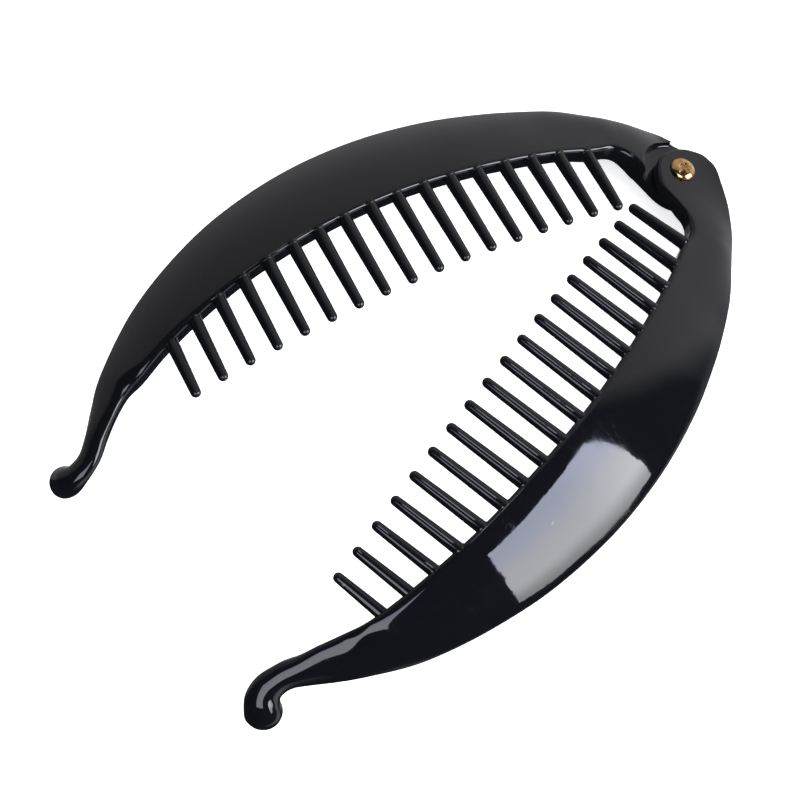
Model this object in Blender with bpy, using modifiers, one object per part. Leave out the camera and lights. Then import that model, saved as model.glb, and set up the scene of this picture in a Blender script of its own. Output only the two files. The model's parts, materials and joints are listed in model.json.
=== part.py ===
"""Banana hair clip: two toothed crescent arms on one rivet, lying open on its tips and its hinge.

Units are metres, +Z is up. The clip lies along X with the hinge at +X and the hooked tips at -X.
The eared arm is on the -Y side, the tongued arm on the +Y side.
Sizes below are given in millimetres and turned into metres by MM.
"""

import bpy
import bmesh
import math
import numpy as np
from mathutils import Matrix, Vector

MM = 0.001

# Hinge
HINGE_FROM_CENTRE = 67.13       # rivet axis ahead of the middle of the clip
EAR_TOP_HEIGHT = 7.55           # ear's top face above the ground, on the rivet axis
HINGE_LEAN = 23.2               # the rivet leans this many degrees away from the arms
OPEN_HALF_ANGLE = 12.4          # each arm's chord from the middle line, as it lies
EAR_THICKNESS = 2.4
LUG_GAP = 0.3                   # between the ear and the tongue
TONGUE_THICKNESS = 2.4
STEP_RADIUS = 8.2               # the tongued arm's face stops at this round step
TONGUE_CUT_RADIUS = 9.0         # the tongue's underside is flat inside this circle
POCKET_RADIUS = 8.3             # hollow under the ear that the tongue turns in
BORE_RADIUS = 1.6
FACE_CORNER = (-5.0, 7.0)       # ahead and side of the face's outer corner at the step, cut off square
FACE_CORNER_WAY = (-0.447, -0.894)
LUG_SIDES = 48                  # sides of the round cuts at the lugs
BORE_SIDES = 24
CUT_REACH = 20.0                # a cutter that goes right through reaches this far below the ear's top face
CUT_ABOVE = 8.0                 # and this far above it

# Rivet
RIVET_SHANK_RADIUS = 1.3
RIVET_HEAD_RADIUS = 2.65
RIVET_HEAD_HEIGHT = 1.4
RIVET_HEAD_GAP = 0.15
RIVET_TAIL_RADIUS = 2.1
RIVET_TAIL_HEIGHT = 0.7
RIVET_TAIL_CHAMFER = 0.3
RIVET_SIDES = 24
RIVET_CROWN_COLUMNS = ("radius", "below_top")
RIVET_CROWN = (                 # dimpled crown, from the middle outwards
    (0.0, 0.35),
    (0.6, 0.12),
    (1.2, 0.08),
    (1.9, 0.42),
    (2.4, 0.8),
    (2.65, 1.1),
)

# Arm shell
SHELL = 2.1                     # thickness of the face
WALL_THICKNESS = 2.2            # thickness of the inner wall
RIM = 1.6                       # thickness at the outer rim
EDGE_ROUND = 0.7                # rounding where the face meets the inner wall
EDGE_STEPS = 4                  # points round that edge
FACE_RUN = 2.3                  # added to the rounding at the bar, along the face
WALL_RUN = 1.3                  # and down the wall
FACE_RUN_SHARE = 0.62           # the rounding takes up this share of the face at most
WALL_RUN_SHARE = 0.52           # and of the wall
RIM_BEVEL = 0.2                 # rounding of the rim's two edges
RIM_BULGE = 0.2                 # the rim stands out this far between them

# Narrow ribs keep these shares of their width, or of the rim, at most
NARROW_WALL = 0.24
NARROW_BEVEL = 0.15
NARROW_BULGE = 0.12

# Places of a section's points: shares of the width across the face and the underside
TOP_SHARES = (0.1, 0.22, 0.36, 0.5, 0.64, 0.78, 0.9, 1.0)
TOP_END = 0.965
UNDER_SHARES = (0.95, 0.78, 0.56, 0.36)
UNDER_WALL = 1.3                # the underside meets the wall this many wall thicknesses in
WALL_OUTLINE_COLUMNS = ("across", "down")
WALL_OUTLINE = (                # wall thicknesses across, shares of the way from the face to the foot
    (1.0, 0.35),
    (0.8, 0.85),
    (0.45, 1.0),
)
WALL_FRONT = (0.02, 0.93)       # wall thicknesses across, and a share of the wall's height
WALL_START_SHARE = 0.6          # the section starts this far down the wall
OVAL_START = 200.0              # its first point, in degrees round the bar's oval
OVAL_RIM_TOP = 8.0
OVAL_RIM_FOOT = -22.0
CRESCENT_HALF_HEIGHT = 2.3
EDGE_GROWTH_START = 92.0        # the inner edge's rounding grows from here to the bar
EDGE_GROWTH_END = 124.0

# Teeth
TOOTH_PITCH = 5.93
EARED_TEETH = 18
EARED_FIRST = 14.6              # first tooth's place along the chord
TONGUED_TEETH = 17
TONGUED_FIRST = 17.1            # further by less than half a pitch, so the teeth interleave
TOOTH_ROOT_RADIUS = 1.36
TOOTH_TIP_RADIUS = 1.06
TONGUED_ROOT_LEAN = 0.0125      # the tongued arm's roots stand nearer the rivet, more so towards the tip
TOOTH_ROOT_DEPTH = 1.0          # the root starts this far inside the wall
TOOTH_ROOT_BELOW_EDGE = 1.75
ROOT_DEEPER = 0.5               # the last roots sit deeper and lower, where the edge rounds off
ROOT_LOWER = 1.6
TOOTH_TIP_RING = (0.65, 0.72)   # the ring before the tip's point: its distance and radius in tip radii
TOOTH_SIDES = 10

STATIONS_PER_RIB = 2            # loft stations between one rib and the next

# Ribs across the two lugs, in the hinge's plane: ahead of the rivet, and towards the arm's own side.
# The inner rail runs round the end and along the straight front edge, the outer one down the flank.
LUG_COLUMNS = ("inner_ahead", "inner_side", "outer_ahead", "outer_side", "drop", "shell", "wall")
EAR_LUG = (
    (-7.55, 1.5, -7.5, 2.3, 0.0, 2.5, 2.55),
    (-7.10, -0.75, -7.2, 3.6, 0.0, 2.5, 2.55),
    (-6.00, -2.35, -6.75, 4.8, 0.1, 2.5, 2.55),
    (-3.80, -4.2, -6.15, 6.1, 0.35, 2.5, 2.55),
    (-0.30, -5.1, -5.55, 7.6, 0.65, 2.5, 2.55),
    (3.00, -4.3, -4.95, 9.0, 1.0, 2.5, 2.55),
    (5.40, -2.2, -4.3, 10.5, 1.4, 2.5, 2.55),
    (6.95, 0.5, -3.45, 12.05, 1.85, 2.5, 2.60),
    (7.10, 3.2, -2.45, 13.65, 2.35, 2.4, 3.00),
    (7.20, 5.9, -1.35, 15.3, 2.9, 2.3, 3.60),
    (7.60, 8.5, 0.0, 17.0, 3.45, 2.2, 3.50),
    (8.80, 10.6, 1.9, 18.9, 3.95, 2.2, 3.70),
    (10.60, 12.1, 4.4, 21.2, 4.2, 2.2, 4.30),
)
TONGUE_LUG = (
    (-7.10, -0.4, -7.0, 1.6, 0.0, 5.3, 5.35),
    (-6.20, -3.5, -6.7, 3.5, 0.2, 5.3, 5.35),
    (-3.60, -6.1, -6.1, 5.0, 0.6, 5.3, 5.35),
    (0.00, -7.1, -5.4, 6.4, 1.5, 5.3, 5.35),
    (3.50, -6.2, -5.0, 7.9, 2.1, 5.3, 5.35),
    (5.90, -4.0, -5.1, 9.4, 2.9, 5.3, 5.35),
    (7.00, -1.2, -5.2, 11.1, 4.0, 5.3, 5.35),
    (7.10, 2.8, -4.4, 12.8, 4.5, 5.3, 5.35),
    (7.20, 5.9, -3.0, 14.4, 4.5, 5.3, 5.35),
    (7.60, 8.5, -1.1, 16.4, 4.4, 4.3, 4.90),
    (8.80, 10.6, 1.4, 18.7, 4.3, 3.2, 4.20),
    (10.60, 12.1, 4.4, 21.2, 4.2, 2.5, 4.30),
)

# Ribs of the crescent in the arm's own frame: along the chord from the rivet, out from the chord, height.
# The inner columns are the edge over the teeth, the outer ones the rim.
CRESCENT_COLUMNS = ("inner_along", "inner_out", "inner_height", "outer_along", "outer_out", "outer_height",
                    "crown", "lift", "wall", "tip_out", "tip_height")
CRESCENT = (
    (16.0, 10.2, 13.6, 16.5, 23.4, 6.9, 0.6, 1.6, 5.1, -2.3, 11.9),
    (22.5, 11.9, 15.9, 23.0, 26.4, 7.5, 1.0, 0.5, 5.4, -2.1, 14.9),
    (31.0, 13.5, 18.6, 31.0, 29.3, 8.6, 1.3, 0.0, 5.3, -2.0, 18.3),
    (42.0, 15.0, 21.7, 42.0, 32.3, 10.2, 1.4, 0.0, 5.1, -1.8, 21.9),
    (55.0, 16.1, 24.5, 55.0, 34.3, 11.9, 1.5, 0.0, 5.1, -1.6, 24.9),
    (68.0, 16.3, 26.2, 68.0, 34.7, 13.3, 1.5, 0.0, 5.3, -1.5, 26.6),
    (80.0, 15.7, 26.8, 80.0, 33.6, 14.2, 1.5, 0.0, 5.6, -1.5, 27.0),
    (92.0, 14.4, 26.2, 92.0, 31.1, 14.6, 1.4, 0.0, 6.0, -1.5, 26.2),
    (103.0, 12.2, 24.7, 103.0, 27.2, 14.4, 1.2, 0.0, 6.4, -1.5, 24.5),
    (112.0, 9.8, 22.7, 112.0, 22.9, 13.6, 1.0, 0.0, 6.9, -1.6, 22.4),
    (118.5, 7.4, 20.8, 118.7, 18.6, 12.4, 0.8, 0.0, 7.2, -1.7, 20.6),
)

# Spine of the bar in the same frame: an oval across it, its long way tilted down outwards by so many
# degrees.
# Roundness 1 is a pure oval, less keeps some of the shell's section. The two tips differ a little.
TAIL_COLUMNS = ("along", "out", "height", "half_long", "half_short", "tilt", "crown", "wall", "under",
                "roundness")
EARED_TAIL = (
    (124.0, 8.65, 14.5, 5.5, 2.3, 42.0, 0.7, 6.2, 3.0, 0.0),
    (128.0, 5.55, 13.0, 4.7, 2.1, 45.0, 0.5, 5.2, 3.4, 0.15),
    (131.5, 2.8, 11.4, 3.6, 2.0, 49.0, 0.4, 4.6, 3.6, 0.45),
    (134.5, 0.15, 9.8, 3.05, 2.1, 53.0, 0.3, 4.6, 3.8, 0.85),
    (137.2, -1.3, 7.9, 3.3, 2.7, 55.0, 0.3, 5.0, 4.0, 1.0),
    (139.3, -1.1, 6.0, 3.6, 3.4, 50.0, 0.3, 5.0, 4.0, 1.0),
)
EARED_BALL = (140.5, 0.05, 3.84)    # along, out and radius; the ball rests on the ground
TONGUED_TAIL = (
    (124.0, 9.75, 14.3, 4.8, 2.3, 42.0, 0.7, 5.4, 3.0, 0.0),
    (128.0, 6.5, 12.8, 3.8, 2.1, 45.0, 0.5, 4.2, 3.2, 0.15),
    (131.5, 3.25, 11.2, 2.9, 1.85, 49.0, 0.4, 3.8, 3.2, 0.45),
    (134.4, 0.2, 9.5, 2.6, 1.85, 53.0, 0.3, 4.0, 3.4, 0.85),
    (137.1, -1.15, 7.6, 2.8, 2.25, 55.0, 0.3, 4.6, 3.6, 1.0),
    (139.0, -1.15, 5.7, 3.05, 2.85, 50.0, 0.3, 4.6, 3.6, 1.0),
)
TONGUED_BALL = (139.55, -0.2, 3.2)
BALL_HEADING = (0.25, 0.45, -0.86)
BALL_RING_ANGLES = (0.0, 12.0, 36.0, 60.0)  # rings of the ball past its middle, in degrees
BALL_POLE = 0.99

PLASTIC_COLOUR = (0.012, 0.012, 0.014, 1.0)
BRASS_COLOUR = (0.72, 0.50, 0.20, 1.0)


def clear_scene():
    for obj in list(bpy.data.objects):
        bpy.data.objects.remove(obj, do_unlink=True)


def make_collection(name):
    collection = bpy.data.collections.new(name)
    bpy.context.scene.collection.children.link(collection)
    return collection


def make_material(name, colour, roughness, metallic):
    material = bpy.data.materials.new(name)
    material.use_nodes = True
    shader = material.node_tree.nodes["Principled BSDF"]
    shader.inputs["Base Color"].default_value = colour
    shader.inputs["Roughness"].default_value = roughness
    shader.inputs["Metallic"].default_value = metallic
    return material


LEAN = math.radians(HINGE_LEAN)
HALF = math.radians(OPEN_HALF_ANGLE)
HINGE_POINT = np.array([HINGE_FROM_CENTRE, 0.0, EAR_TOP_HEIGHT])
HINGE_AXIS = np.array([math.sin(LEAN), 0.0, math.cos(LEAN)])
HINGE_AHEAD = np.array([-math.cos(LEAN), 0.0, math.sin(LEAN)])
UP = np.array([0.0, 0.0, 1.0])


def lug_point(ahead, side, depth, hand):
    """Point in the hinge's plane: ahead to the tips, side towards its own arm, depth below the ear's top."""
    return HINGE_POINT + HINGE_AHEAD * ahead + np.array([0.0, hand * side, 0.0]) - HINGE_AXIS * depth


def chord_point(along, out, height, hand):
    """Point in the arm's frame: along the chord from the rivet, out from it, and height above the ground."""
    x = HINGE_FROM_CENTRE - along * math.cos(HALF) + out * math.sin(HALF)
    y = hand * (along * math.sin(HALF) + out * math.cos(HALF))
    return np.array([x, y, height])


def unit(vector):
    return vector / np.linalg.norm(vector)


def make_rib(inner, outer, crown, lift, shell, rim, wall, growth, roundness, half_height, down):
    values = [crown, lift, shell, rim, wall, growth, roundness, half_height]
    return np.concatenate([inner, outer, values, down])


def lug_ribs(hand, table):
    ribs = []
    for row in table:
        value = dict(zip(LUG_COLUMNS, row))
        inner = lug_point(value["inner_ahead"], value["inner_side"], 0.0, hand)
        outer = lug_point(value["outer_ahead"], value["outer_side"], value["drop"], hand)
        rim = max(value["shell"] - value["drop"], RIM)
        ribs.append(make_rib(inner, outer, 0.0, value["drop"], value["shell"], rim, value["wall"], 0.0, 0.0,
                             CRESCENT_HALF_HEIGHT, -HINGE_AXIS))
    return ribs


def edge_growth(along):
    """How far the inner edge's rounding has grown, from 0 along the comb to 1 at the bar."""
    share = min(max((along - EDGE_GROWTH_START) / (EDGE_GROWTH_END - EDGE_GROWTH_START), 0.0), 1.0)
    return share * share * (3 - 2 * share)


def crescent_ribs(hand):
    ribs = []
    for number, row in enumerate(CRESCENT):
        value = dict(zip(CRESCENT_COLUMNS, row))
        inner = chord_point(value["inner_along"], value["inner_out"], value["inner_height"], hand)
        outer = chord_point(value["outer_along"], value["outer_out"], value["outer_height"], hand)
        down = unit(-UP - HINGE_AXIS) if number == 0 else -UP
        ribs.append(make_rib(inner, outer, value["crown"], value["lift"], SHELL, RIM, value["wall"],
                             edge_growth(value["inner_along"]), 0.0, CRESCENT_HALF_HEIGHT, down))
    return ribs


def oval_axes(forward, tilt):
    """Long and short way of the bar's oval, the long way tilted down outwards about the spine."""
    side = unit(np.cross(UP, forward))
    if side[1] < 0:
        side = -side
    top = np.cross(forward, side)
    if top[2] < 0:
        top = -top
    angle = math.radians(tilt)
    return side * math.cos(angle) - top * math.sin(angle), side * math.sin(angle) + top * math.cos(angle)


def tail_rib(place, long_way, short_way, value, hand):
    """Rib across the bar: its wall drops straight down, and turns square to the spine as the bar rounds."""
    across = long_way * value["half_long"]
    inner = chord_point(*(place - across), hand)
    outer = chord_point(*(place + across), hand)
    square = chord_point(0.0, 0.0, 0.0, hand) - chord_point(*short_way, hand)
    down = unit(-UP * (1 - value["roundness"]) + square * value["roundness"])
    return make_rib(inner, outer, value["crown"], 0.0, value["under"], RIM, value["wall"], 1.0,
                    value["roundness"], value["half_short"], down)


def tail_ribs(table, ball_row, hand):
    """Ribs across the bar and the ball."""
    rows = [dict(zip(TAIL_COLUMNS, row)) for row in table]
    ball = np.array(ball_row)
    ball_radius = ball_row[2]
    heading = unit(np.array(BALL_HEADING))
    spine = [np.array([row["along"], row["out"], row["height"]]) for row in rows] + [ball]
    ribs = []
    for number, row in enumerate(rows):
        forward = unit(spine[number + 1] - spine[max(number - 1, 0)])
        long_way, short_way = oval_axes(forward, row["tilt"])
        ribs.append(tail_rib(spine[number], long_way, short_way, row, hand))
    long_way, short_way = oval_axes(heading, rows[-1]["tilt"])
    for angle in np.radians(BALL_RING_ANGLES):
        radius = ball_radius * math.cos(angle)
        place = ball + heading * ball_radius * math.sin(angle)
        value = rows[-1] | {"half_long": radius, "half_short": radius}
        ribs.append(tail_rib(place, long_way, short_way, value, hand))
    return ribs


def ball_end(ball_row, hand):
    return chord_point(*(np.array(ball_row) + unit(np.array(BALL_HEADING)) * ball_row[2] * BALL_POLE), hand)


def smooth_stations(ribs, steps):
    """Catmull-Rom stations through the ribs."""
    padded = [2 * ribs[0] - ribs[1]] + list(ribs) + [2 * ribs[-1] - ribs[-2]]
    stations = []
    for k in range(1, len(padded) - 2):
        p0, p1, p2, p3 = padded[k - 1:k + 3]
        for step in range(steps):
            t = step / steps
            stations.append(0.5 * (2 * p1 + (p2 - p0) * t + (2 * p0 - 5 * p1 + 4 * p2 - p3) * t * t
                                   + (3 * p1 - p0 - 3 * p2 + p3) * t ** 3))
    stations.append(ribs[-1])
    return stations


def inner_edge(inner, down, top, face_run, wall_run, width):
    """Points from the wall to the face round their edge, as a conic with its own run on each of the two."""
    start = inner + down * wall_run
    end = top(face_run / width)
    slope = unit(top(face_run / width - 0.01) - end)
    between = start - end
    turn = float(slope @ down)
    reach = (between @ slope - turn * (between @ down)) / (1 - turn * turn)
    corner = end + slope * reach
    weight = math.sqrt(0.5 * (1 - turn))
    points = []
    for t in np.linspace(0, 1, EDGE_STEPS):
        shares = np.array([(1 - t) ** 2, 2 * weight * t * (1 - t), t * t])
        points.append((shares[0] * start + shares[1] * corner + shares[2] * end) / shares.sum())
    return points


def section_points(station):
    """Closed outline of one rib: up the inner wall, over the face to the rim, and back under it."""
    inner, outer = station[0:3], station[3:6]
    crown, lift, shell, rim, wall, growth, roundness, half_height = station[6:14]
    down = unit(station[14:17])
    across = outer - inner
    width = np.linalg.norm(across)
    across = across / width
    normal = unit(-down - np.dot(-down, across) * across)
    bulge = min(RIM_BULGE, NARROW_BULGE * rim)
    bevel = min(RIM_BEVEL, NARROW_BEVEL * rim)
    wall_thick = min(WALL_THICKNESS, NARROW_WALL * width)
    run = EDGE_ROUND / math.tan(0.5 * math.acos(float(across @ down)))
    face_run = min(run + growth * FACE_RUN, FACE_RUN_SHARE * width)
    wall_run = min(run + growth * WALL_RUN, WALL_RUN_SHARE * wall)

    def top(share):
        bump = 4 * crown * share * (1 - share) + lift * (share - share ** 3)
        return inner + across * width * share + normal * bump

    def under(share):
        depth = rim + (shell - rim) * (1 - share) - 4 * crown * share * (1 - share)
        return inner + across * width * share - normal * depth

    after_edge = face_run / width
    points = [inner + down * WALL_START_SHARE * wall]
    points += inner_edge(inner, down, top, face_run, wall_run, width)
    points += [top(after_edge + share * (TOP_END - after_edge)) for share in TOP_SHARES]
    rim_top = len(points) - 1
    points += [outer - normal * bevel, outer - normal * rim * 0.5 + across * bulge,
               outer - normal * (rim - bevel)]
    rim_foot = len(points) - 1
    points += [under(share) for share in UNDER_SHARES]
    points += [under(wall_thick / width * UNDER_WALL)]
    points += [inner + across * wall_thick * share + down * (shell + (wall - shell) * depth)
               for share, depth in WALL_OUTLINE]
    points += [inner + across * wall_thick * WALL_FRONT[0] + down * wall * WALL_FRONT[1]]
    points = np.array(points)
    if roundness > 0:
        marks = [0, rim_top, rim_foot, len(points)]
        turns = [OVAL_START, OVAL_RIM_TOP, OVAL_RIM_FOOT, OVAL_START - 360.0]
        angles = np.radians(np.interp(np.arange(len(points)), marks, turns))
        oval = (0.5 * (inner + outer) + np.outer(np.cos(angles), across) * 0.5 * width
                + np.outer(np.sin(angles), normal) * half_height)
        share = min(roundness, 1.0)
        points = points * (1 - share) + oval * share
    return points


def loft(stations, end_pole):
    """Closed mesh through the stations' outlines, with a fan at each end."""
    mesh = bmesh.new()
    rings = []
    for station in stations:
        rings.append([mesh.verts.new(Vector(point * MM)) for point in section_points(station)])
    count = len(rings[0])
    for first, second in zip(rings[:-1], rings[1:]):
        for k in range(count):
            after = (k + 1) % count
            mesh.faces.new((first[k], first[after], second[after], second[k]))
    first_pole = sum((vert.co for vert in rings[0]), Vector()) / count
    for ring, place, reverse in ((rings[0], first_pole, True), (rings[-1], Vector(end_pole * MM), False)):
        pole = mesh.verts.new(place)
        for k in range(count):
            after = (k + 1) % count
            mesh.faces.new((pole, ring[after], ring[k]) if reverse else (pole, ring[k], ring[after]))
    bmesh.ops.recalc_face_normals(mesh, faces=mesh.faces)
    return mesh


def mesh_object(name, mesh, collection, material=None):
    data = bpy.data.meshes.new(name)
    mesh.to_mesh(data)
    mesh.free()
    obj = bpy.data.objects.new(name, data)
    collection.objects.link(obj)
    if material is not None:
        data.materials.append(material)
    return obj


def hide_cutter(obj):
    obj.hide_render = True
    obj.display_type = "WIRE"


def at_place(along, column):
    """Value of a crescent column at a place along the chord, by a cubic through the four nearest ribs."""
    places = [row[0] for row in CRESCENT]
    values = [row[CRESCENT_COLUMNS.index(column)] for row in CRESCENT]
    first = max(0, min(len(places) - 4, int(np.searchsorted(places, along)) - 2))
    total = 0.0
    for k in range(first, first + 4):
        term = values[k]
        for other in range(first, first + 4):
            if other != k:
                term *= (along - places[other]) / (places[k] - places[other])
        total += term
    return total


def add_tooth(mesh, along, lean, hand):
    """Tapered round tooth from inside the wall to its rounded tip."""
    root_along = along - lean * (along - CRESCENT[0][0])
    growth = edge_growth(root_along)
    root_out = at_place(root_along, "inner_out") + TOOTH_ROOT_DEPTH + ROOT_DEEPER * growth
    root_height = at_place(root_along, "inner_height") - TOOTH_ROOT_BELOW_EDGE - ROOT_LOWER * growth
    root = chord_point(root_along, root_out, root_height, hand)
    tip = chord_point(along, at_place(along, "tip_out"), at_place(along, "tip_height"), hand)
    direction = unit(tip - root)
    side = unit(np.cross(direction, UP))
    lift = np.cross(side, direction)
    length = np.linalg.norm(tip - root)
    rows = ((0.0, TOOTH_ROOT_RADIUS), (length, TOOTH_TIP_RADIUS),
            (length + TOOTH_TIP_RING[0] * TOOTH_TIP_RADIUS, TOOTH_TIP_RING[1] * TOOTH_TIP_RADIUS))
    rings = []
    for distance, radius in rows:
        ring = []
        for k in range(TOOTH_SIDES):
            angle = 2 * math.pi * (k + 0.5) / TOOTH_SIDES
            around = side * math.cos(angle) + lift * math.sin(angle)
            ring.append(mesh.verts.new(Vector((root + direction * distance + around * radius) * MM)))
        rings.append(ring)
    faces = []
    for first, second in zip(rings[:-1], rings[1:]):
        for k in range(TOOTH_SIDES):
            after = (k + 1) % TOOTH_SIDES
            faces.append(mesh.faces.new((first[k], first[after], second[after], second[k])))
    apex = mesh.verts.new(Vector((root + direction * (length + TOOTH_TIP_RADIUS)) * MM))
    for k in range(TOOTH_SIDES):
        faces.append(mesh.faces.new((apex, rings[-1][k], rings[-1][(k + 1) % TOOTH_SIDES])))
    faces.append(mesh.faces.new(rings[0]))
    bmesh.ops.recalc_face_normals(mesh, faces=faces)


def make_teeth(name, first, count, lean, hand, cutters):
    mesh = bmesh.new()
    for k in range(count):
        add_tooth(mesh, first + TOOTH_PITCH * k, lean, hand)
    teeth = mesh_object(name, mesh, cutters)
    hide_cutter(teeth)
    return teeth


def hinge_matrix(depth):
    """Placement on the rivet's axis, with local Z along it and local X pointing ahead to the tips."""
    place = HINGE_POINT - HINGE_AXIS * depth
    matrix = Matrix.Identity(4)
    left = np.cross(HINGE_AXIS, HINGE_AHEAD)
    for row in range(3):
        matrix[row][0] = HINGE_AHEAD[row]
        matrix[row][1] = left[row]
        matrix[row][2] = HINGE_AXIS[row]
        matrix[row][3] = place[row] * MM
    return matrix


def hinge_cylinder(name, radius, top_depth, bottom_depth, sides, collection):
    """Cylinder on the rivet's axis between two depths below the ear's top face."""
    height = bottom_depth - top_depth
    bpy.ops.mesh.primitive_cylinder_add(vertices=sides, radius=radius * MM, depth=height * MM)
    obj = bpy.context.object
    obj.name = name
    obj.matrix_world = hinge_matrix(0.5 * (top_depth + bottom_depth))
    move_to(obj, collection)
    return obj


def corner_cut(name, top_depth, bottom_depth, collection):
    """Box that takes the sharp corner off the face where its outer rim meets the step."""
    corner = np.array(FACE_CORNER)
    out = np.array(FACE_CORNER_WAY)
    across = np.array([-out[1], out[0]])
    mesh = bmesh.new()
    rings = []
    for depth in (top_depth, bottom_depth):
        ring = []
        for far, wide in ((0.0, -3.0), (0.0, 3.0), (4.0, 3.0), (4.0, -3.0)):
            place = corner + out * far + across * wide
            ring.append(mesh.verts.new(Vector(lug_point(place[0], place[1], depth, 1) * MM)))
        rings.append(ring)
        mesh.faces.new(ring)
    for k in range(4):
        after = (k + 1) % 4
        mesh.faces.new((rings[0][k], rings[0][after], rings[1][after], rings[1][k]))
    bmesh.ops.recalc_face_normals(mesh, faces=mesh.faces)
    return mesh_object(name, mesh, collection)


def move_to(obj, collection):
    for old in list(obj.users_collection):
        old.objects.unlink(obj)
    collection.objects.link(obj)


def add_boolean(obj, other, operation):
    modifier = obj.modifiers.new(operation.lower() + " " + other.name, "BOOLEAN")
    modifier.object = other
    modifier.operation = operation
    modifier.solver = "EXACT"
    hide_cutter(other)


def make_eared_arm(parts, cutters, plastic):
    hand = -1
    ribs = lug_ribs(hand, EAR_LUG) + crescent_ribs(hand) + tail_ribs(EARED_TAIL, EARED_BALL, hand)
    body = loft(smooth_stations(ribs, STATIONS_PER_RIB), ball_end(EARED_BALL, hand))
    arm = mesh_object("eared_arm", body, parts, plastic)
    add_boolean(arm, make_teeth("eared_teeth", EARED_FIRST, EARED_TEETH, 0.0, hand, cutters), "UNION")
    pocket = hinge_cylinder("tongue_pocket", POCKET_RADIUS, EAR_THICKNESS, CUT_REACH, LUG_SIDES, cutters)
    add_boolean(arm, pocket, "DIFFERENCE")
    bore = hinge_cylinder("ear_bore", BORE_RADIUS, -CUT_ABOVE, CUT_REACH, BORE_SIDES, cutters)
    add_boolean(arm, bore, "DIFFERENCE")


def make_tongued_arm(parts, cutters, plastic):
    hand = 1
    top = EAR_THICKNESS + LUG_GAP
    bottom = top + TONGUE_THICKNESS
    ribs = lug_ribs(hand, TONGUE_LUG) + crescent_ribs(hand) + tail_ribs(TONGUED_TAIL, TONGUED_BALL, hand)
    body = loft(smooth_stations(ribs, STATIONS_PER_RIB), ball_end(TONGUED_BALL, hand))
    arm = mesh_object("tongued_arm", body, parts, plastic)
    teeth = make_teeth("tongued_teeth", TONGUED_FIRST, TONGUED_TEETH, TONGUED_ROOT_LEAN, hand, cutters)
    add_boolean(arm, teeth, "UNION")
    add_boolean(arm, corner_cut("face_corner", -CUT_ABOVE, top, cutters), "DIFFERENCE")
    step = hinge_cylinder("face_step", STEP_RADIUS, -CUT_ABOVE, top, LUG_SIDES, cutters)
    add_boolean(arm, step, "DIFFERENCE")
    underside = hinge_cylinder("tongue_bottom", TONGUE_CUT_RADIUS, bottom, CUT_REACH, LUG_SIDES, cutters)
    add_boolean(arm, underside, "DIFFERENCE")
    bore = hinge_cylinder("tongue_bore", BORE_RADIUS, -CUT_ABOVE, CUT_REACH, BORE_SIDES, cutters)
    add_boolean(arm, bore, "DIFFERENCE")
    return arm


def make_rivet(parts, brass):
    """Turned rivet: domed head with a dimpled crown, shank, and a plain flat tail."""
    head_top = RIVET_HEAD_GAP + RIVET_HEAD_HEIGHT
    tail_top = EAR_THICKNESS + LUG_GAP + TONGUE_THICKNESS + RIVET_HEAD_GAP
    outline = [(radius, head_top - below_top) for radius, below_top in RIVET_CROWN]
    outline += [
        (RIVET_HEAD_RADIUS, RIVET_HEAD_GAP),
        (RIVET_SHANK_RADIUS, RIVET_HEAD_GAP),
        (RIVET_SHANK_RADIUS, -tail_top),
        (RIVET_TAIL_RADIUS, -tail_top),
        (RIVET_TAIL_RADIUS - RIVET_TAIL_CHAMFER, -tail_top - RIVET_TAIL_HEIGHT),
        (0.0, -tail_top - RIVET_TAIL_HEIGHT),
    ]
    data = bpy.data.meshes.new("hinge_rivet")
    data.from_pydata([(radius * MM, 0.0, height * MM) for radius, height in outline],
                     [(k, k + 1) for k in range(len(outline) - 1)], [])
    rivet = bpy.data.objects.new("hinge_rivet", data)
    parts.objects.link(rivet)
    data.materials.append(brass)
    screw = rivet.modifiers.new("turn", "SCREW")
    screw.steps = RIVET_SIDES
    screw.render_steps = RIVET_SIDES
    screw.use_merge_vertices = True
    screw.merge_threshold = 0.01 * MM
    rivet.matrix_world = hinge_matrix(0.0)


def main():
    clear_scene()
    parts = make_collection("banana_hair_clip")
    cutters = make_collection("cutters")
    plastic = make_material("black_plastic", PLASTIC_COLOUR, 0.12, 0.0)
    brass = make_material("rivet_brass", BRASS_COLOUR, 0.25, 1.0)
    make_eared_arm(parts, cutters, plastic)
    tongued = make_tongued_arm(parts, cutters, plastic)
    make_rivet(parts, brass)
    hinge = bpy.data.objects.new("hinge_axis", None)
    hinge.matrix_world = hinge_matrix(0.0)
    parts.objects.link(hinge)
    tongued.parent = hinge
    tongued.matrix_parent_inverse = hinge.matrix_world.inverted()


main()
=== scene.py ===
"""Looks of the banana hair clip: two polished black combs on a brass rivet, lying open on a pale table.

Sizes are in millimetres and turned into metres by MM. The hinge's place and lean come from the frame.
"""

import json
import math
import bpy
import bmesh
import numpy as np
from mathutils import Matrix, Vector


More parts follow.
